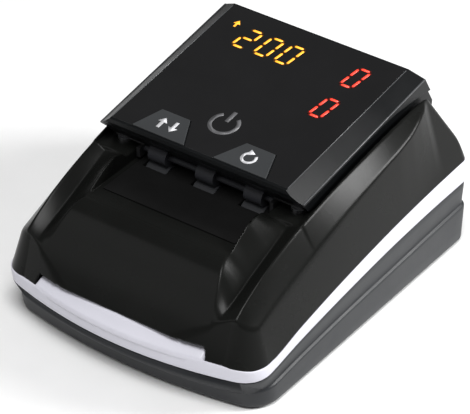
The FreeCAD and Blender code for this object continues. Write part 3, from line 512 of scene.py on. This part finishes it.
# Which CAD nodes have which look.
CAD_LOOKS = {
    STEEL: ("latch_magnets hinge_pins case_screws board_screws update_port "
            "magnetic_head feed_motor display_screws key_switches front_drive_shaft "
            "rear_drive_shaft motor_spindle"),
    RUBBER: "rubber_feet drive_belt",
    BOARD: "main_board display_board",
    MATTE_BLACK: ("dc_jack encoder_sensor currency_display count_display value_display "
                  "arrow_lamp power_touch_pad note_guide encoder_disc"),
    ZINC: "speaker feed_frame motor_bracket latch_plates",
    CELL: "battery_pack",
    BASE_GREY: "battery_cover lower_case",
    TRAY_BLACK: "note_bed",
    SENSOR: "lower_sensor_bar upper_sensor_bar",
    BRONZE: "front_bushes rear_bushes",
    ROLLER: "front_drive_rollers rear_drive_rollers",
    PULLEY: "front_pulley rear_pulley motor_pulley",
    PINCH: "front_pinch_rollers rear_pinch_rollers",
    PALE: "trim_strip",
    GLOSS_BLACK: "upper_case",
    HEAD_GREY: "head_shell",
    LENS_BLACK: "display_lens",
    KEY_GREY: "left_key right_key",
}
for look, names in CAD_LOOKS.items():
    for node in names.split():
        NODES[node].data.materials.clear()
        NODES[node].data.materials.append(look)

# ------------------------ upper case

WALL = 2.2
CELL_SIZE = 0.8
UPPER_HALF = 72.6
UPPER_APEX = -94.6
SEAM_LAP = 1.3               # how far the case reaches down behind the light band
SIDE_ROUND, REAR_ROUND, CUT_ROUND, WINDOW_ROUND = 0.9, 2.5, 0.6, 0.2

# The note path, and the pocket that the head sits in.
CHANNEL_HALF = 40.2
BED_TOP = 66.05
CREASE = -59.6
RAMP_SPREAD = 0.345          # how much the ramp widens for each millimetre forwards
RECESS_FRONT = -28.0
RECESS_HALF = 58.9
DECK = 71.5
DECK_REAR_DROP = 2.1
DECK_STEP = (69.0, 71.0)
WINDOW_FLOOR = 60.0          # the note bed's opening goes right through above this

# Half widths of the rail's lines: its inner valley and its ridge.
VALLEY_HALF = 52.4
RIDGE_HALF = 59.5
PAST_SIDE = 79.0
VALLEY_START = (-28.1, 69.9)  # a point of the valley's straight side line, (y, z)
VALLEY_RISE = 0.415
VALLEY_DEPTH = 1.2
# The rear wall leans forward from this edge, (y, z), at this steepness.
REAR_EDGE = (76.0, 87.0)
REAR_SLOPE = 1.85

# The front lip, and how far it sinks into the case.
LIP_HALF = 48.6
LIP_ROUND = 1.8
LIP_LOW = 27.2
LIP_HEIGHT = 7.0
LIP_BACK = -88.3
LIP_BOW = 0.0039
LIP_LAP = 0.1


def lip_rise(x):
    """The share of its height that the front lip keeps towards its rounded ends."""
    end = np.clip((np.abs(x) - (LIP_HALF - LIP_ROUND)) / LIP_ROUND, 0.0, 1.0)
    return np.sqrt(1 - 0.8 * end * end)


def smoothed(table, reach):
    """A table averaged over a few neighbours each way, along both of its axes."""
    for _ in range(2):
        padded = np.pad(table, ((reach, reach), (0, 0)), mode="edge")
        table = sum(padded[i:i + table.shape[0]] for i in range(2 * reach + 1))
        table = (table / (2 * reach + 1)).T
    return table


def top_heights(xs, ys):
    """Height of the upper case's top over a grid, with its creases slightly rounded."""
    half = np.abs(xs)
    out = np.zeros((len(xs), len(ys)))
    for j, y in enumerate(ys):
        ridge = float(ridge_line(y))
        shoulder = min(float(shoulder_line(y)), ridge - 0.4)
        valley = min(VALLEY_START[1] + VALLEY_RISE * (y - VALLEY_START[0]),
                     ridge - VALLEY_DEPTH)
        edge = float(shoulder_place(y))
        beyond = shoulder + (shoulder - ridge) * 1.4
        foot, low = CHANNEL_HALF + 0.1, float(ramp_line(y))
        if y < CREASE:
            foot = CHANNEL_HALF + (CREASE - y) * RAMP_SPREAD
        else:
            low = max(low, float(guide_line(y)))
        front = ([0, foot, VALLEY_HALF, RIDGE_HALF, edge, PAST_SIDE],
                 [low, low, valley, ridge, shoulder, beyond])
        inner = RIDGE_HALF + 0.4
        back = ([0, inner, max(edge, inner + 0.3), PAST_SIDE],
                [ridge, ridge, shoulder, beyond])
        blend = float(smooth_step(RECESS_FRONT - 0.6, RECESS_FRONT + 0.6, y))
        out[:, j] = (1 - blend) * np.interp(half, *front) + blend * np.interp(half, *back)
    return smoothed(out, 1)


def look_up(table, x, y, x0, y0, step):
    """A table's value at places between its entries."""
    fx = np.clip((x - x0) / step, 0, table.shape[0] - 1.001)
    fy = np.clip((y - y0) / step, 0, table.shape[1] - 1.001)
    i, j = fx.astype(int), fy.astype(int)
    fx, fy = fx - i, fy - j
    return ((table[i, j] * (1 - fx) + table[i + 1, j] * fx) * (1 - fy)
            + (table[i, j + 1] * (1 - fx) + table[i + 1, j + 1] * fx) * fy)


def case_field(x, y, z, height, steep):
    """Signed distance, roughly, to the upper case's hollow shell: negative inside."""
    across = np.abs(x)
    base = band_high(y)
    plan = outline_distance(x, y, UPPER_HALF, UPPER_APEX, REAR - 0.2)
    rise = np.clip((z - base) / (shoulder_line(y) - base), 0.0, 1.3)
    side = plan + (UPPER_HALF - shoulder_place(y)) * rise
    rear = ((z - REAR_EDGE[1] + REAR_SLOPE * (y - REAR_EDGE[0]))
            / math.hypot(1, REAR_SLOPE))
    solid = smooth_max((z - height) / steep, side, SIDE_ROUND)
    solid = smooth_max(solid, rear, REAR_ROUND)
    deck = DECK - DECK_REAR_DROP * smooth_step(*DECK_STEP, y)
    recess = np.maximum(np.maximum(across - RECESS_HALF, RECESS_FRONT - y), deck - z)
    channel = np.maximum(np.maximum(across - CHANNEL_HALF, CREASE - y), BED_TOP - z)
    for cut in (recess, channel):
        solid = smooth_max(solid, -cut, CUT_ROUND)
    shell = np.maximum(np.maximum(solid, -(solid + WALL)), base - SEAM_LAP - z)
    lip_back = LIP_BACK - LIP_LAP + LIP_BOW * x * x
    lip_top = LIP_LOW + LIP_LAP + LIP_HEIGHT * lip_rise(x)
    lip = np.maximum(np.maximum(across - LIP_HALF - LIP_LAP, y - lip_back),
                     (z - lip_top) * 0.7)
    bed_low, bed_high = mm_box("note_bed")
    window = np.maximum(np.maximum(across - bed_high.x - 0.15, WINDOW_FLOOR - z),
                        np.maximum(bed_low.y - 0.2 - y, y - bed_high.y - 0.2))
    return smooth_max(smooth_max(shell, -lip, CUT_ROUND), -window, WINDOW_ROUND)


def relaxed(verts, quads, field_at, rounds):
    """Evens out a net's spacing and puts its points back on the surface."""
    edges = np.concatenate([quads[:, [i, (i + 1) % 4]] for i in range(4)])
    edges = np.concatenate([edges, edges[:, ::-1]])
    count = np.bincount(edges[:, 0], minlength=len(verts))[:, None]
    for _ in range(rounds):
        mean = np.stack([np.bincount(edges[:, 0], verts[edges[:, 1], k], len(verts))
                         for k in range(3)], 1) / count
        verts = verts + 0.6 * (mean - verts)
        value, slope = field_at(verts)
        steepness = np.maximum((slope ** 2).sum(1), 0.15)
        verts = verts - np.clip(value / steepness, -0.5, 0.5)[:, None] * slope
    return verts


def upper_case():
    """The upper case as a rounded shell: tall rails beside a ramp, deck and recess."""
    step = CELL_SIZE / 2
    table_x = np.arange(-76.0, 76.0 + step / 2, step)
    table_y = np.arange(-98.0, 98.0 + step / 2, step)
    heights = top_heights(table_x, table_y)
    slope_x, slope_y = np.gradient(heights, step, step)
    steeps = smoothed(np.sqrt(1 + slope_x ** 2 + slope_y ** 2), 2)
    xs, ys = table_x[::2], table_y[::2]
    zs = np.arange(22.0, 90.0 + CELL_SIZE / 2, CELL_SIZE)
    field = case_field(xs[:, None, None], ys[None, :, None], zs[None, None, :],
                       heights[::2, ::2, None], steeps[::2, ::2, None])
    verts, quads = surface_net(field, (xs[0], ys[0], zs[0]), CELL_SIZE)

    def value_at(x, y, z):
        height, steep = [look_up(table, x, y, table_x[0], table_y[0], step)
                         for table in (heights, steeps)]
        return case_field(x, y, z, height, steep)

    def field_at(points):
        x, y, z = points.T
        nudge = 0.3
        slope = np.stack([
            value_at(x + nudge, y, z) - value_at(x - nudge, y, z),
            value_at(x, y + nudge, z) - value_at(x, y - nudge, z),
            value_at(x, y, z + nudge) - value_at(x, y, z - nudge)], 1) / (2 * nudge)
        return value_at(x, y, z), slope

    verts = relaxed(verts, quads, field_at, 4)
    piece = make_piece("upper_case_shell", verts, quads, "base",
                       GLOSS_BLACK, True, ["upper_case"])
    shade_by_slope(piece.data, field_at)


def shade_by_slope(mesh, field_at):
    """Takes a mesh's normals from its field, except where the two disagree at an edge."""
    places = np.array([v.co for v in mesh.vertices]) / MM
    _, slope = field_at(places)
    plain = np.array([v.normal for v in mesh.vertices])
    slope /= np.maximum(np.linalg.norm(slope, axis=1), 0.01)[:, None]
    agree = (slope * plain).sum(1) > 0.6
    normals = np.where(agree[:, None], slope, plain)
    mesh.normals_split_custom_set_from_vertices([tuple(n) for n in normals])


HINGE_Y, HINGE_Z, LUG_RADIUS = 76.0, 79.0, 3.8
LUG_NEAR, LUG_FAR, LUG_FOOT = 46.0, 49.0, 68.8


def hinge_lugs():
    """The two ears on the deck that hold the head's hinge pins."""
    side = [(HINGE_Y + LUG_RADIUS, LUG_FOOT)]
    for degrees in range(0, 181, 12):
        angle = math.radians(degrees)
        side.append((HINGE_Y + LUG_RADIUS * math.cos(angle),
                     HINGE_Z + LUG_RADIUS * math.sin(angle)))
    side.append((HINGE_Y - LUG_RADIUS, LUG_FOOT))
    for sign, name in ((-1, "left"), (1, "right")):
        verts = [(sign * x, y, z) for x in (LUG_NEAR, LUG_FAR) for y, z in side]
        lug = make_piece("hinge_lug_" + name, verts, prism_faces(len(side)), "base",
                         GLOSS_BLACK)
        bevel(lug, 0.25, 2, 40.0)


# ------------------------ light band and lip

# The band's section, from its lower edge to its upper one: (share of height, inset).
BAND_SECTION = [(0.0, 2.4), (0.0, 0.45), (0.03, 0.12), (0.1, 0.0), (0.3, -0.05),
                (0.5, -0.06), (0.7, -0.05), (0.9, 0.0), (0.97, 0.12), (1.0, 0.45),
                (1.0, 2.4)]
SEAM = 0.15


def light_band():
    """The pale strip round the casing, between the upper and lower case."""
    def row(share, inset):
        def at(y):
            low, high = float(band_low(y)) + SEAM, float(band_high(y)) - SEAM
            return low + (high - low) * share, inset
        return at

    rows = [row(share, inset) for share, inset in BAND_SECTION]
    ring_piece("light_band", rows, "base", PALE, ["trim_strip"])


def lip_front(x, height):
    """Depth of the casing's front face at a place across, at a height."""
    _, setback, _, bow = level_at(height)
    return APEX + setback + bow * x * x


def front_lip():
    """The raised lip over the band's front: an upright face that folds back."""
    inner = LIP_HALF - LIP_ROUND
    ends = [inner + LIP_ROUND * k / 6 for k in range(1, 7)]
    across = [-x for x in reversed(ends)] + list(np.linspace(-inner, inner, 49)) + ends
    foot = LIP_LOW - 1.4
    verts = []
    for x in across:
        rise = float(lip_rise(x))
        face = lip_front(x, 29.0) - 0.08
        back = LIP_BACK + LIP_BOW * x * x
        fold = LIP_LOW + 1.6 * rise + 0.1
        top = LIP_LOW + LIP_HEIGHT * rise + 0.2
        profile = [(face + 0.2, foot), (face, LIP_LOW), (face, fold),
                   (face + 0.12, fold + 0.5 * rise), (face + 0.5, fold + rise)]
        for share in (0.35, 0.6, 0.8):
            profile.append((face + (back - face) * share,
                            fold + rise + (top - fold - 1.4 * rise) * share))
        profile += [(back - 0.9, top - 0.25 * rise), (back - 0.3, top - 0.35 * rise),
                    (back, top - rise), (back, foot)]
        verts += [(x, y, z) for y, z in profile]
    make_piece("front_lip", verts, tube_faces(len(across), len(profile)), "base",
               PALE)


# ------------------------ lower case

FLOOR_LOW, FLOOR_HIGH = 1.2, 3.4
FOOT_EDGE = 3.0              # where the wall above the rounded foot starts
LEDGE_DEPTH = 1.3
LEDGE_LIFT = 1.2
LEDGE_FADE = (-84.0, -66.0)  # the ledge starts behind the front corner
SCREW_PLACES = [(-61, -62), (61, -62), (-61, 78), (61, 78)]
SCREW_SINK = 3.1
GRILLE_CENTRE = (-40, 36)
GRILLE_REACH = 6.0
GRILLE_HOLE = 1.2


def ring_points(height, inset):
    """The whole outline at a height, as (x, y) points."""
    right = [outline_point(turn, height, inset) for turn in turns()]
    return right + [(-x, y) for x, y in reversed(right[1:-1])]


def box_mesh(low, high):
    """A box between two corners."""
    corners = [(x, y, z) for z in (low[2], high[2])
               for x, y in ((low[0], low[1]), (high[0], low[1]), (high[0], high[1]),
                            (low[0], high[1]))]
    return corners, [(3, 2, 1, 0), (4, 5, 6, 7), (0, 1, 5, 4), (1, 2, 6, 5), (2, 3, 7, 6),
                     (3, 0, 4, 7)]


def rod_mesh(x, y, radius, low, high, sides=32):
    """An upright rod."""
    ring = [(x + radius * math.cos(2 * math.pi * i / sides),
             y + radius * math.sin(2 * math.pi * i / sides)) for i in range(sides)]
    corners = [(a, b, z) for z in (low, high) for a, b in ring]
    return corners, prism_faces(sides)


def cut_out(piece, shapes):
    """Takes shapes, each (corners, faces) in millimetres, out of a piece."""
    corners, faces = [], []
    for shape_corners, shape_faces in shapes:
        first = len(corners)
        corners += [(x * MM, y * MM, z * MM) for x, y, z in shape_corners]
        faces += [tuple(first + i for i in face) for face in shape_faces]
    mesh = bpy.data.meshes.new("cutter")
    mesh.from_pydata(corners, [], faces)
    bm = bmesh.new()
    bm.from_mesh(mesh)
    bmesh.ops.recalc_face_normals(bm, faces=bm.faces)
    bm.to_mesh(mesh)
    bm.free()
    cutter = bpy.data.objects.new("cutter", mesh)
    bpy.context.scene.collection.objects.link(cutter)
    mod = piece.modifiers.new("cut", "BOOLEAN")
    mod.operation = "DIFFERENCE"
    mod.solver = "EXACT"
    mod.object = cutter
    bpy.context.view_layer.update()
    bake(piece)
    bpy.data.objects.remove(cutter)


def lower_case_wall():
    """The grey wall under the light band, with a step in it from the corners back."""
    def at_height(height, inset):
        return lambda y: (height, inset)

    def below_ledge(share):
        return lambda y: (FOOT_EDGE + (float(ledge_line(y)) - FOOT_EDGE) * share, 0.0)

    def above_ledge(lift, depth):
        return lambda y: (float(ledge_line(y)) + lift,
                          depth * float(smooth_step(*LEDGE_FADE, y)))

    def under_band(share, depth):
        def at(y):
            ledge, top = float(ledge_line(y)) + LEDGE_LIFT, float(band_low(y)) - SEAM
            return ledge + (top - ledge) * share, depth * float(smooth_step(*LEDGE_FADE, y))
        return at

    rows = [at_height(FLOOR_HIGH, 2.2), at_height(FLOOR_HIGH, 3.4),
            at_height(FLOOR_LOW, 3.4), at_height(FLOOR_LOW, 1.5), at_height(1.35, 0.75),
            at_height(1.9, 0.22)]
    rows += [below_ledge(share) for share in (0.0, 0.3, 0.6, 0.9)]
    rows += [above_ledge(lift, depth) for lift, depth in
             ((-0.35, 0.03), (0.1, 0.28), (0.4, 0.62), (0.8, LEDGE_DEPTH))]
    rows += [under_band(share, LEDGE_DEPTH * kept) for share, kept in
             ((0.0, 1.0), (0.35, 0.8), (0.7, 0.5), (0.94, 0.35))]
    rows += [under_band(1.0, LEDGE_DEPTH * 0.35 + 0.3), under_band(1.0, 2.2)]
    wall = ring_piece("lower_case_wall", rows, "base", BASE_GREY,
                      ["lower_case"])
    sockets = []
    for node, gap in (("dc_jack", 0.2), ("update_port", 0.3)):
        low, high = mm_box(node)
        sockets.append(box_mesh((low.x - gap, 88, low.z - gap),
                                (high.x + gap, 99, high.z + gap)))
    cut_out(wall, sockets)


def lower_case_floor():
    """The floor, open for the battery cover, the case screws and the speaker."""
    edge = ring_points(2.0, 3.3)
    verts = [(x, y, z) for z in (FLOOR_LOW, FLOOR_HIGH) for x, y in edge]
    floor_plate = make_piece("lower_case_floor", verts, prism_faces(len(edge)), "base",
                             BASE_GREY, False)
    low, high = mm_box("battery_cover")
    holes = [box_mesh((low.x - 0.2, low.y - 0.2, 0), (high.x + 0.2, high.y + 0.2, 5))]
    holes += [rod_mesh(x, y, SCREW_SINK, 0, 5) for x, y in SCREW_PLACES]
    middle_x, middle_y = GRILLE_CENTRE
    holes.append(rod_mesh(middle_x, middle_y, GRILLE_HOLE, 0, 5))
    for k in range(6):
        angle = math.radians(60 * k)
        holes.append(rod_mesh(middle_x + GRILLE_REACH * math.cos(angle),
                              middle_y + GRILLE_REACH * math.sin(angle), GRILLE_HOLE, 0, 5))
    cut_out(floor_plate, holes)


# ------------------------ head

TILT = math.radians(7.6)
LENS_FRONT = Vector((0.0, -27.2, 88.3))
ALONG = Vector((0.0, math.cos(TILT), math.sin(TILT)))
PROUD = Vector((0.0, -math.sin(TILT), math.cos(TILT)))
HEAD_HALF, HEAD_BODY_HALF, LENS_HALF = 58.3, 56.3, 50.0
LENS_LENGTH, LENS_THICK = 99.4, 1.8
LENS_FACE = 0.05             # the lens stands this proud of the head
HEAD_BOTTOM = 73.0
# The head's side view, (y, z), round from above its front edge to above its rear one.
HEAD_PROFILE = [(-27.8, 106.0), (-27.8, 84.6), (-26.4, 83.0), (-21.7, 72.9), (78.0, 72.9),
                (84.8, 75.3), (85.3, 79.5), (75.1, 97.1), (69.0, 106.1)]
# Heights from the head's widest line down to its step inwards, by depth.
side_wall = curve([(-30, 1.2), (40, 1.5), (70, 6.5), (90, 12.0)])


def lens_height(y):
    return LENS_FRONT.z + math.tan(TILT) * (y - LENS_FRONT.y)


def widest_height(y):
    """Height of the line along which the head is widest."""
    return 81.5 + 0.156 * (y + 25.0)


def on_lens(x, along, depth=0.0):
    """A point across, up the lens's slope, and above its face."""
    return LENS_FRONT + Vector((x, 0, 0)) + ALONG * along + PROUD * depth


def clip(bm, point, normal):
    """Cuts off what lies beyond a plane and closes the cut."""
    geometry = bm.verts[:] + bm.edges[:] + bm.faces[:]
    cut = bmesh.ops.bisect_plane(bm, geom=geometry, plane_co=Vector(point) * MM,
                                 plane_no=Vector(normal), clear_outer=True, dist=1e-7)
    edges = [e for e in cut["geom_cut"] if isinstance(e, bmesh.types.BMEdge)]
    bmesh.ops.holes_fill(bm, edges=edges, sides=0)


def slab(outline, low, high):
    """A plate lying in the lens's slope: an outline of (x, along) between two depths."""
    verts = [on_lens(x, along, depth) for depth in (low, high) for x, along in outline]
    return verts, prism_faces(len(outline))


def head_cover():
    """The head's shell: lofted from front to rear, trimmed to its side view, and sunk
    under the keys."""
    verts = []
    depths = (-32, -10, 15, 40, 50, 60, 70, 90)
    for y in depths:
        widest = widest_height(y)
        low = widest - float(side_wall(y))
        right = [(LENS_HALF + 0.5, lens_height(y) - LENS_FACE), (HEAD_HALF, widest),
                 (HEAD_HALF, low), (HEAD_BODY_HALF, low - 1.3),
                 (HEAD_BODY_HALF, HEAD_BOTTOM)]
        verts += [(x, y, z) for x, z in right] + [(-x, y, z) for x, z in reversed(right)]
    faces = tube_faces(len(depths), len(verts) // len(depths))
    piece = make_piece("head_cover", verts, faces, "head", HEAD_GREY,
                       True, ["head_shell"])
    bm = bmesh.new()
    bm.from_mesh(piece.data)
    for (y0, z0), (y1, z1) in zip(HEAD_PROFILE, HEAD_PROFILE[1:]):
        if z0 != z1:
            clip(bm, (0, y0, z0), (0, z1 - z0, y0 - y1))
    bm.to_mesh(piece.data)
    bm.free()
    cut_out(piece, [slab(key_outline(side, WELL_GAP), -WELL_DEPTH, 1.0)
                    for side in (-1, 1)])
    bevel(piece, 0.45, 3, 12.0)


def prism(name, outline, low, high, body, material, replaces=(), width=0.3):
    """A piece made of one slab, with its edges rounded by width."""
    verts, faces = slab(outline, low, high)
    piece = make_piece(name, verts, faces, body, material, True, replaces)
    return bevel(piece, width, 3, 30.0) if width else piece


KEY_OUTER, KEY_INNER, KEY_BACK_OUTER, KEY_BACK_INNER = 38.2, 8.4, 32.4, 16.2
KEY_FRONT, KEY_BACK, KEY_GAP = 0.9, 16.9, 0.35
KEY_FOOT, KEY_TOP = -5.0, 0.7
WELL_GAP, WELL_DEPTH = 0.3, 6.5
PRINT_HALF = 0.05            # half the thickness of print and of a lit bar


def key_outline(side, grow=0.0):
    """A key's outline, narrower at its back, on one side (-1 left, 1 right)."""
    points = [(KEY_OUTER + grow, KEY_FRONT), (KEY_INNER - grow, KEY_FRONT),
              (KEY_BACK_INNER - grow, KEY_BACK + grow),
              (KEY_BACK_OUTER + grow, KEY_BACK + grow)]
    return [(side * x, along) for x, along in points]


def lens():
    """The dark window, notched round the two keys."""
    left, right = key_outline(-1, KEY_GAP), key_outline(1, KEY_GAP)
    outline = [(-LENS_HALF, KEY_FRONT), left[0], left[3], left[2], left[1],
               right[1], right[2], right[3], right[0], (LENS_HALF, KEY_FRONT),
               (LENS_HALF, LENS_LENGTH), (-LENS_HALF, LENS_LENGTH)]
    prism("lens_window", outline, -LENS_THICK, LENS_FACE, "head",
          LENS_BLACK, ["display_lens"], 0.35)


def mark(name, outline, body, material, depth):
    """Thin print or a lit shape lying on a face."""
    prism(name, outline, depth - PRINT_HALF, depth + PRINT_HALF, body, material,
          (), 0.0)


def arc_band(cx, cy, inner, outer, start, end, count=24):
    """Outline of a curved stroke about a centre, angles in degrees."""
    outside, inside = [], []
    for i in range(count + 1):
        angle = math.radians(start + (end - start) * i / count)
        outside.append((cx + outer * math.cos(angle), cy + outer * math.sin(angle)))
        inside.append((cx + inner * math.cos(angle), cy + inner * math.sin(angle)))
    return outside + list(reversed(inside))


def along_of(y):
    """How far up the lens's slope a depth lies."""
    return (y - LENS_FRONT.y) / math.cos(TILT)


def arrow_outline(x, middle, turn, half, barb, tip, tail, stem):
    """An arrow along the slope, pointing back where turn is 1 and forward where it's -1."""
    wing = middle + barb * turn
    end = middle - tail * turn
    return [(x - half, wing), (x, middle + tip * turn), (x + half, wing), (x + stem, wing),
            (x + stem, end), (x - stem, end), (x - stem, wing)]


KEY_PRINT = 0.72
KEY_MIDDLE = 8.6
LOOP_X = 23.3
LOOP_START, LOOP_END = 120, 400


def keys():
    """The two keys, one with a pair of arrows and one with a returning arrow."""
    for side, name in ((-1, "left"), (1, "right")):
        body = name + "_key"
        prism(name + "_key_cap", key_outline(side), KEY_FOOT, KEY_TOP, body,
              KEY_GREY, [body], 0.35)
    for index, (x, turn) in enumerate(((-26.6, 1), (-19.8, -1))):
        arrow = arrow_outline(x, KEY_MIDDLE, turn, 2.6, 0.6, 3.8, 3.6, 0.9)
        mark("left_key_arrow_%d" % index, arrow, "left_key", WHITE_PRINT,
             KEY_PRINT)
    mark("right_key_loop", arc_band(LOOP_X, KEY_MIDDLE, 2.7, 4.1, LOOP_START, LOOP_END),
         "right_key", WHITE_PRINT, KEY_PRINT)
    tip = math.radians(LOOP_START)
    x, along = LOOP_X + 3.4 * math.cos(tip), KEY_MIDDLE + 3.4 * math.sin(tip)
    head = [(x - 0.4, along + 2.6), (x + 3.0, along + 0.5), (x - 0.8, along - 1.9)]
    mark("right_key_head", head, "right_key", WHITE_PRINT, KEY_PRINT)


POWER_X, POWER_Y = -1.3, -4.1
POWER_BAR_HALF, POWER_BAR_ENDS = 1.1, (-2.5, 5.2)


def power_mark():
    """The power symbol on the touch pad: an open ring and a bar."""
    ring = arc_band(POWER_X, along_of(POWER_Y), 5.9, 7.9, 128, 412, 40)
    mark("power_ring", ring, "head", GREY_PRINT, 0.08)
    low, high = [along_of(y) for y in POWER_BAR_ENDS]
    left, right = POWER_X - POWER_BAR_HALF, POWER_X + POWER_BAR_HALF
    bar = [(left, low), (right, low), (right, high), (left, high)]
    mark("power_bar", bar, "head", GREY_PRINT, 0.08)


def bead(name, start, end, radius, material):
    """A fine rounded line between two points, closed with domed ends."""
    start, end = Vector(start), Vector(end)
    along = (end - start).normalized()
    across = along.cross(Vector((0, 0, 1))).normalized()
    up = across.cross(along)
    sides = 12
    stations = [(start, 0.05, -1.0), (start, 0.7, -0.7), (start, 1.0, 0.0),
                (end, 1.0, 0.0), (end, 0.7, 0.7), (end, 0.05, 1.0)]
    verts = []
    for centre, swell, push in stations:
        for k in range(sides):
            angle = 2 * math.pi * k / sides
            verts.append(centre + along * push * radius
                         + (across * math.cos(angle) + up * math.sin(angle))
                         * radius * swell)
    make_piece(name, verts, tube_faces(len(stations), sides), "head",
               material)


def head_highlight_beads():
    """Fine raised lines at the lens's edges and at the head's widest edge, in a lighter
    grey than the head: a painted highlight where these edges catch the light.
    """
    for side, name in ((-1, "left"), (1, "right")):
        edge = side * (LENS_HALF + 0.3)
        bead("lens_highlight_line_" + name, on_lens(edge, 1.0), on_lens(edge, 98.4), 0.22,
             EDGE_HIGHLIGHT_GREY)
        edge = side * (HEAD_HALF - 0.2)
        bead("head_highlight_line_" + name, (edge, -24.6, 81.7), (edge, 74.6, 97.1), 0.4,
             EDGE_HIGHLIGHT_GREY)
    bead("head_highlight_line_front", (-51.2, -26.9, 84.9), (51.2, -26.9, 84.9), 0.3, EDGE_HIGHLIGHT_GREY)


# Ends of a character's seven bars, in shares of its width and height.
SEGMENTS = {
    "a": ((0.14, 1.0), (0.86, 1.0)), "b": ((1.0, 0.93), (1.0, 0.54)),
    "c": ((1.0, 0.46), (1.0, 0.07)), "d": ((0.14, 0.0), (0.86, 0.0)),
    "e": ((0.0, 0.46), (0.0, 0.07)), "f": ((0.0, 0.93), (0.0, 0.54)),
    "g": ((0.14, 0.5), (0.86, 0.5)),
}
SLANT = math.tan(math.radians(8.0))
SEGMENT_HALF, SEGMENT_POINT = 0.62, 0.6
SEGMENT_LIFT, HALO_LIFT, HALO_REACH = 0.1, 0.08, 1.5
AMBER_WIDTH, RED_WIDTH = 7.0, 6.4


def segment_outline(start, end):
    """A lit bar with pointed ends, in (x, along)."""
    a, b = Vector(start), Vector(end)
    point = (b - a).normalized() * SEGMENT_POINT
    across = Vector((-point.y, point.x)).normalized() * SEGMENT_HALF
    return [a, a + point + across, b - point + across,
            b, b - point - across, a + point - across]


def halo_piece(name, outline, reach, material):
    """A ring round a lit shape whose glow attribute fades from 1 to 0."""
    centre = sum(outline, Vector((0, 0))) / len(outline)
    rings = []
    for share in (0.0, 0.35, 0.7, 1.0):
        ring = []
        for p in outline:
            ring.append(p + (p - centre).normalized() * reach * share)
        rings.append((1 - share, ring))
    verts = [on_lens(p[0], p[1], HALO_LIFT) for _, ring in rings for p in ring]
    count = len(outline)
    faces = grid_faces(len(rings), count, True)
    piece = make_piece(name, verts, faces, "head", material)
    values = piece.data.attributes.new("glow", "FLOAT", "POINT")
    for vertex in piece.data.vertices:
        nearest, best = 0.0, 1e9
        for level, ring in rings:
            for p in ring:
                gap = (on_lens(p[0], p[1], HALO_LIFT) * MM - vertex.co).length
                if gap < best:
                    nearest, best = level, gap
        values.data[vertex.index].value = nearest
    return piece


def digit(name, x, low, high, width, lit, material, halo_material):
    """A seven-segment character with its front left corner at x and its foot at low."""
    height = high - low
    for key in lit:
        start, end = [(x + px * width + py * height * SLANT, low + py * height)
                      for px, py in SEGMENTS[key]]
        shape = segment_outline(start, end)
        mark("%s_%s" % (name, key), shape, "head", material, SEGMENT_LIFT)
        halo_piece("%s_%s_halo" % (name, key), shape, HALO_REACH, halo_material)


def displays():
    """An amber number with its arrow, and two red counts."""
    low, high = along_of(45.6), along_of(59.3)
    amber = (("abdeg", -33.2), ("abcdef", -20.6), ("abcdef", -8.6))
    for index, (lit, x) in enumerate(amber):
        digit("amber_%d" % index, x, low, high, AMBER_WIDTH, lit, AMBER, AMBER_HALO)
    red = ((28.6, 46.8, 60.8), (28.2, 21.6, 35.4))
    for index, (x, low_y, high_y) in enumerate(red):
        digit("red_%d" % index, x, along_of(low_y), along_of(high_y), RED_WIDTH, "abcdef",
              RED, RED_HALO)
    arrow = arrow_outline(-40.1, along_of(59.5), 1, 1.9, 0.0, 2.6, 2.4, 0.55)
    mark("amber_arrow", arrow, "head", AMBER, SEGMENT_LIFT)


upper_case()
hinge_lugs()
light_band()
front_lip()
lower_case_wall()
lower_case_floor()
head_cover()
lens()
head_highlight_beads()
keys()
power_mark()
displays()

# ------------------------ floor, light, camera

FLOOR_REACH = 4.0
floor_mesh = bpy.data.meshes.new("studio_floor")
floor_mesh.from_pydata([(-FLOOR_REACH, -FLOOR_REACH, 0), (FLOOR_REACH, -FLOOR_REACH, 0),
                        (FLOOR_REACH, FLOOR_REACH, 0), (-FLOOR_REACH, FLOOR_REACH, 0)],
                       [], [(0, 1, 2, 3)])
floor_mesh.materials.append(plastic("floor_white", (0.86, 0.86, 0.86), 0.6, 60.0, 0.0,
                                    0.01))
floor = bpy.data.objects.new("studio_floor", floor_mesh)
bpy.context.scene.collection.objects.link(floor)

world = bpy.data.worlds.new("studio")
world.use_nodes = True
world.node_tree.nodes["Background"].inputs["Color"].default_value = (1.0, 1.0, 1.0, 1)
world.node_tree.nodes["Background"].inputs["Strength"].default_value = 0.16
bpy.context.scene.world = world
bpy.context.scene.view_settings.view_transform = "Standard"


def soft_light(name, place, aim, size, power):
    """An area light aimed at a point, in metres and watts."""
    data = bpy.data.lights.new(name, "AREA")
    data.shape = "RECTANGLE"
    data.size, data.size_y = size
    data.energy = power
    lamp = bpy.data.objects.new(name, data)
    bpy.context.scene.collection.objects.link(lamp)
    lamp.location = place
    lamp.rotation_euler = (Vector(aim) - Vector(place)).to_track_quat("-Z", "Y").to_euler()


soft_light("front_light", (0.55, -0.75, 2.1), (0, 0, 0), (1.0, 1.0), 46.0)
soft_light("right_light", (0.98, 0.68, 0.68), (0, 0, 0.05), (0.42, 0.42), 19.0)
soft_light("fill_light", (-0.7, -1.0, 0.85), (0, 0, 0.05), (1.0, 0.6), 2.4)

# The camera stands to the right of the front, well back, with a long lens.
CAMERA_PLACE = (0.7012, -0.9661, 0.8841)
CAMERA_LENS = 235.9
CAMERA_RIGHT = Vector((0.81004, 0.58637, 0.0))
CAMERA_BACK = Vector((0.47921, -0.66201, 0.57628))

camera_data = bpy.data.cameras.new("camera")
camera_data.sensor_width = 36.0
camera_data.lens = CAMERA_LENS
camera = bpy.data.objects.new("camera", camera_data)
bpy.context.scene.collection.objects.link(camera)
camera.matrix_world = Matrix.Translation(CAMERA_PLACE) @ Matrix(
    (CAMERA_RIGHT, CAMERA_BACK.cross(CAMERA_RIGHT), CAMERA_BACK)).transposed().to_4x4()
bpy.context.scene.camera = camera
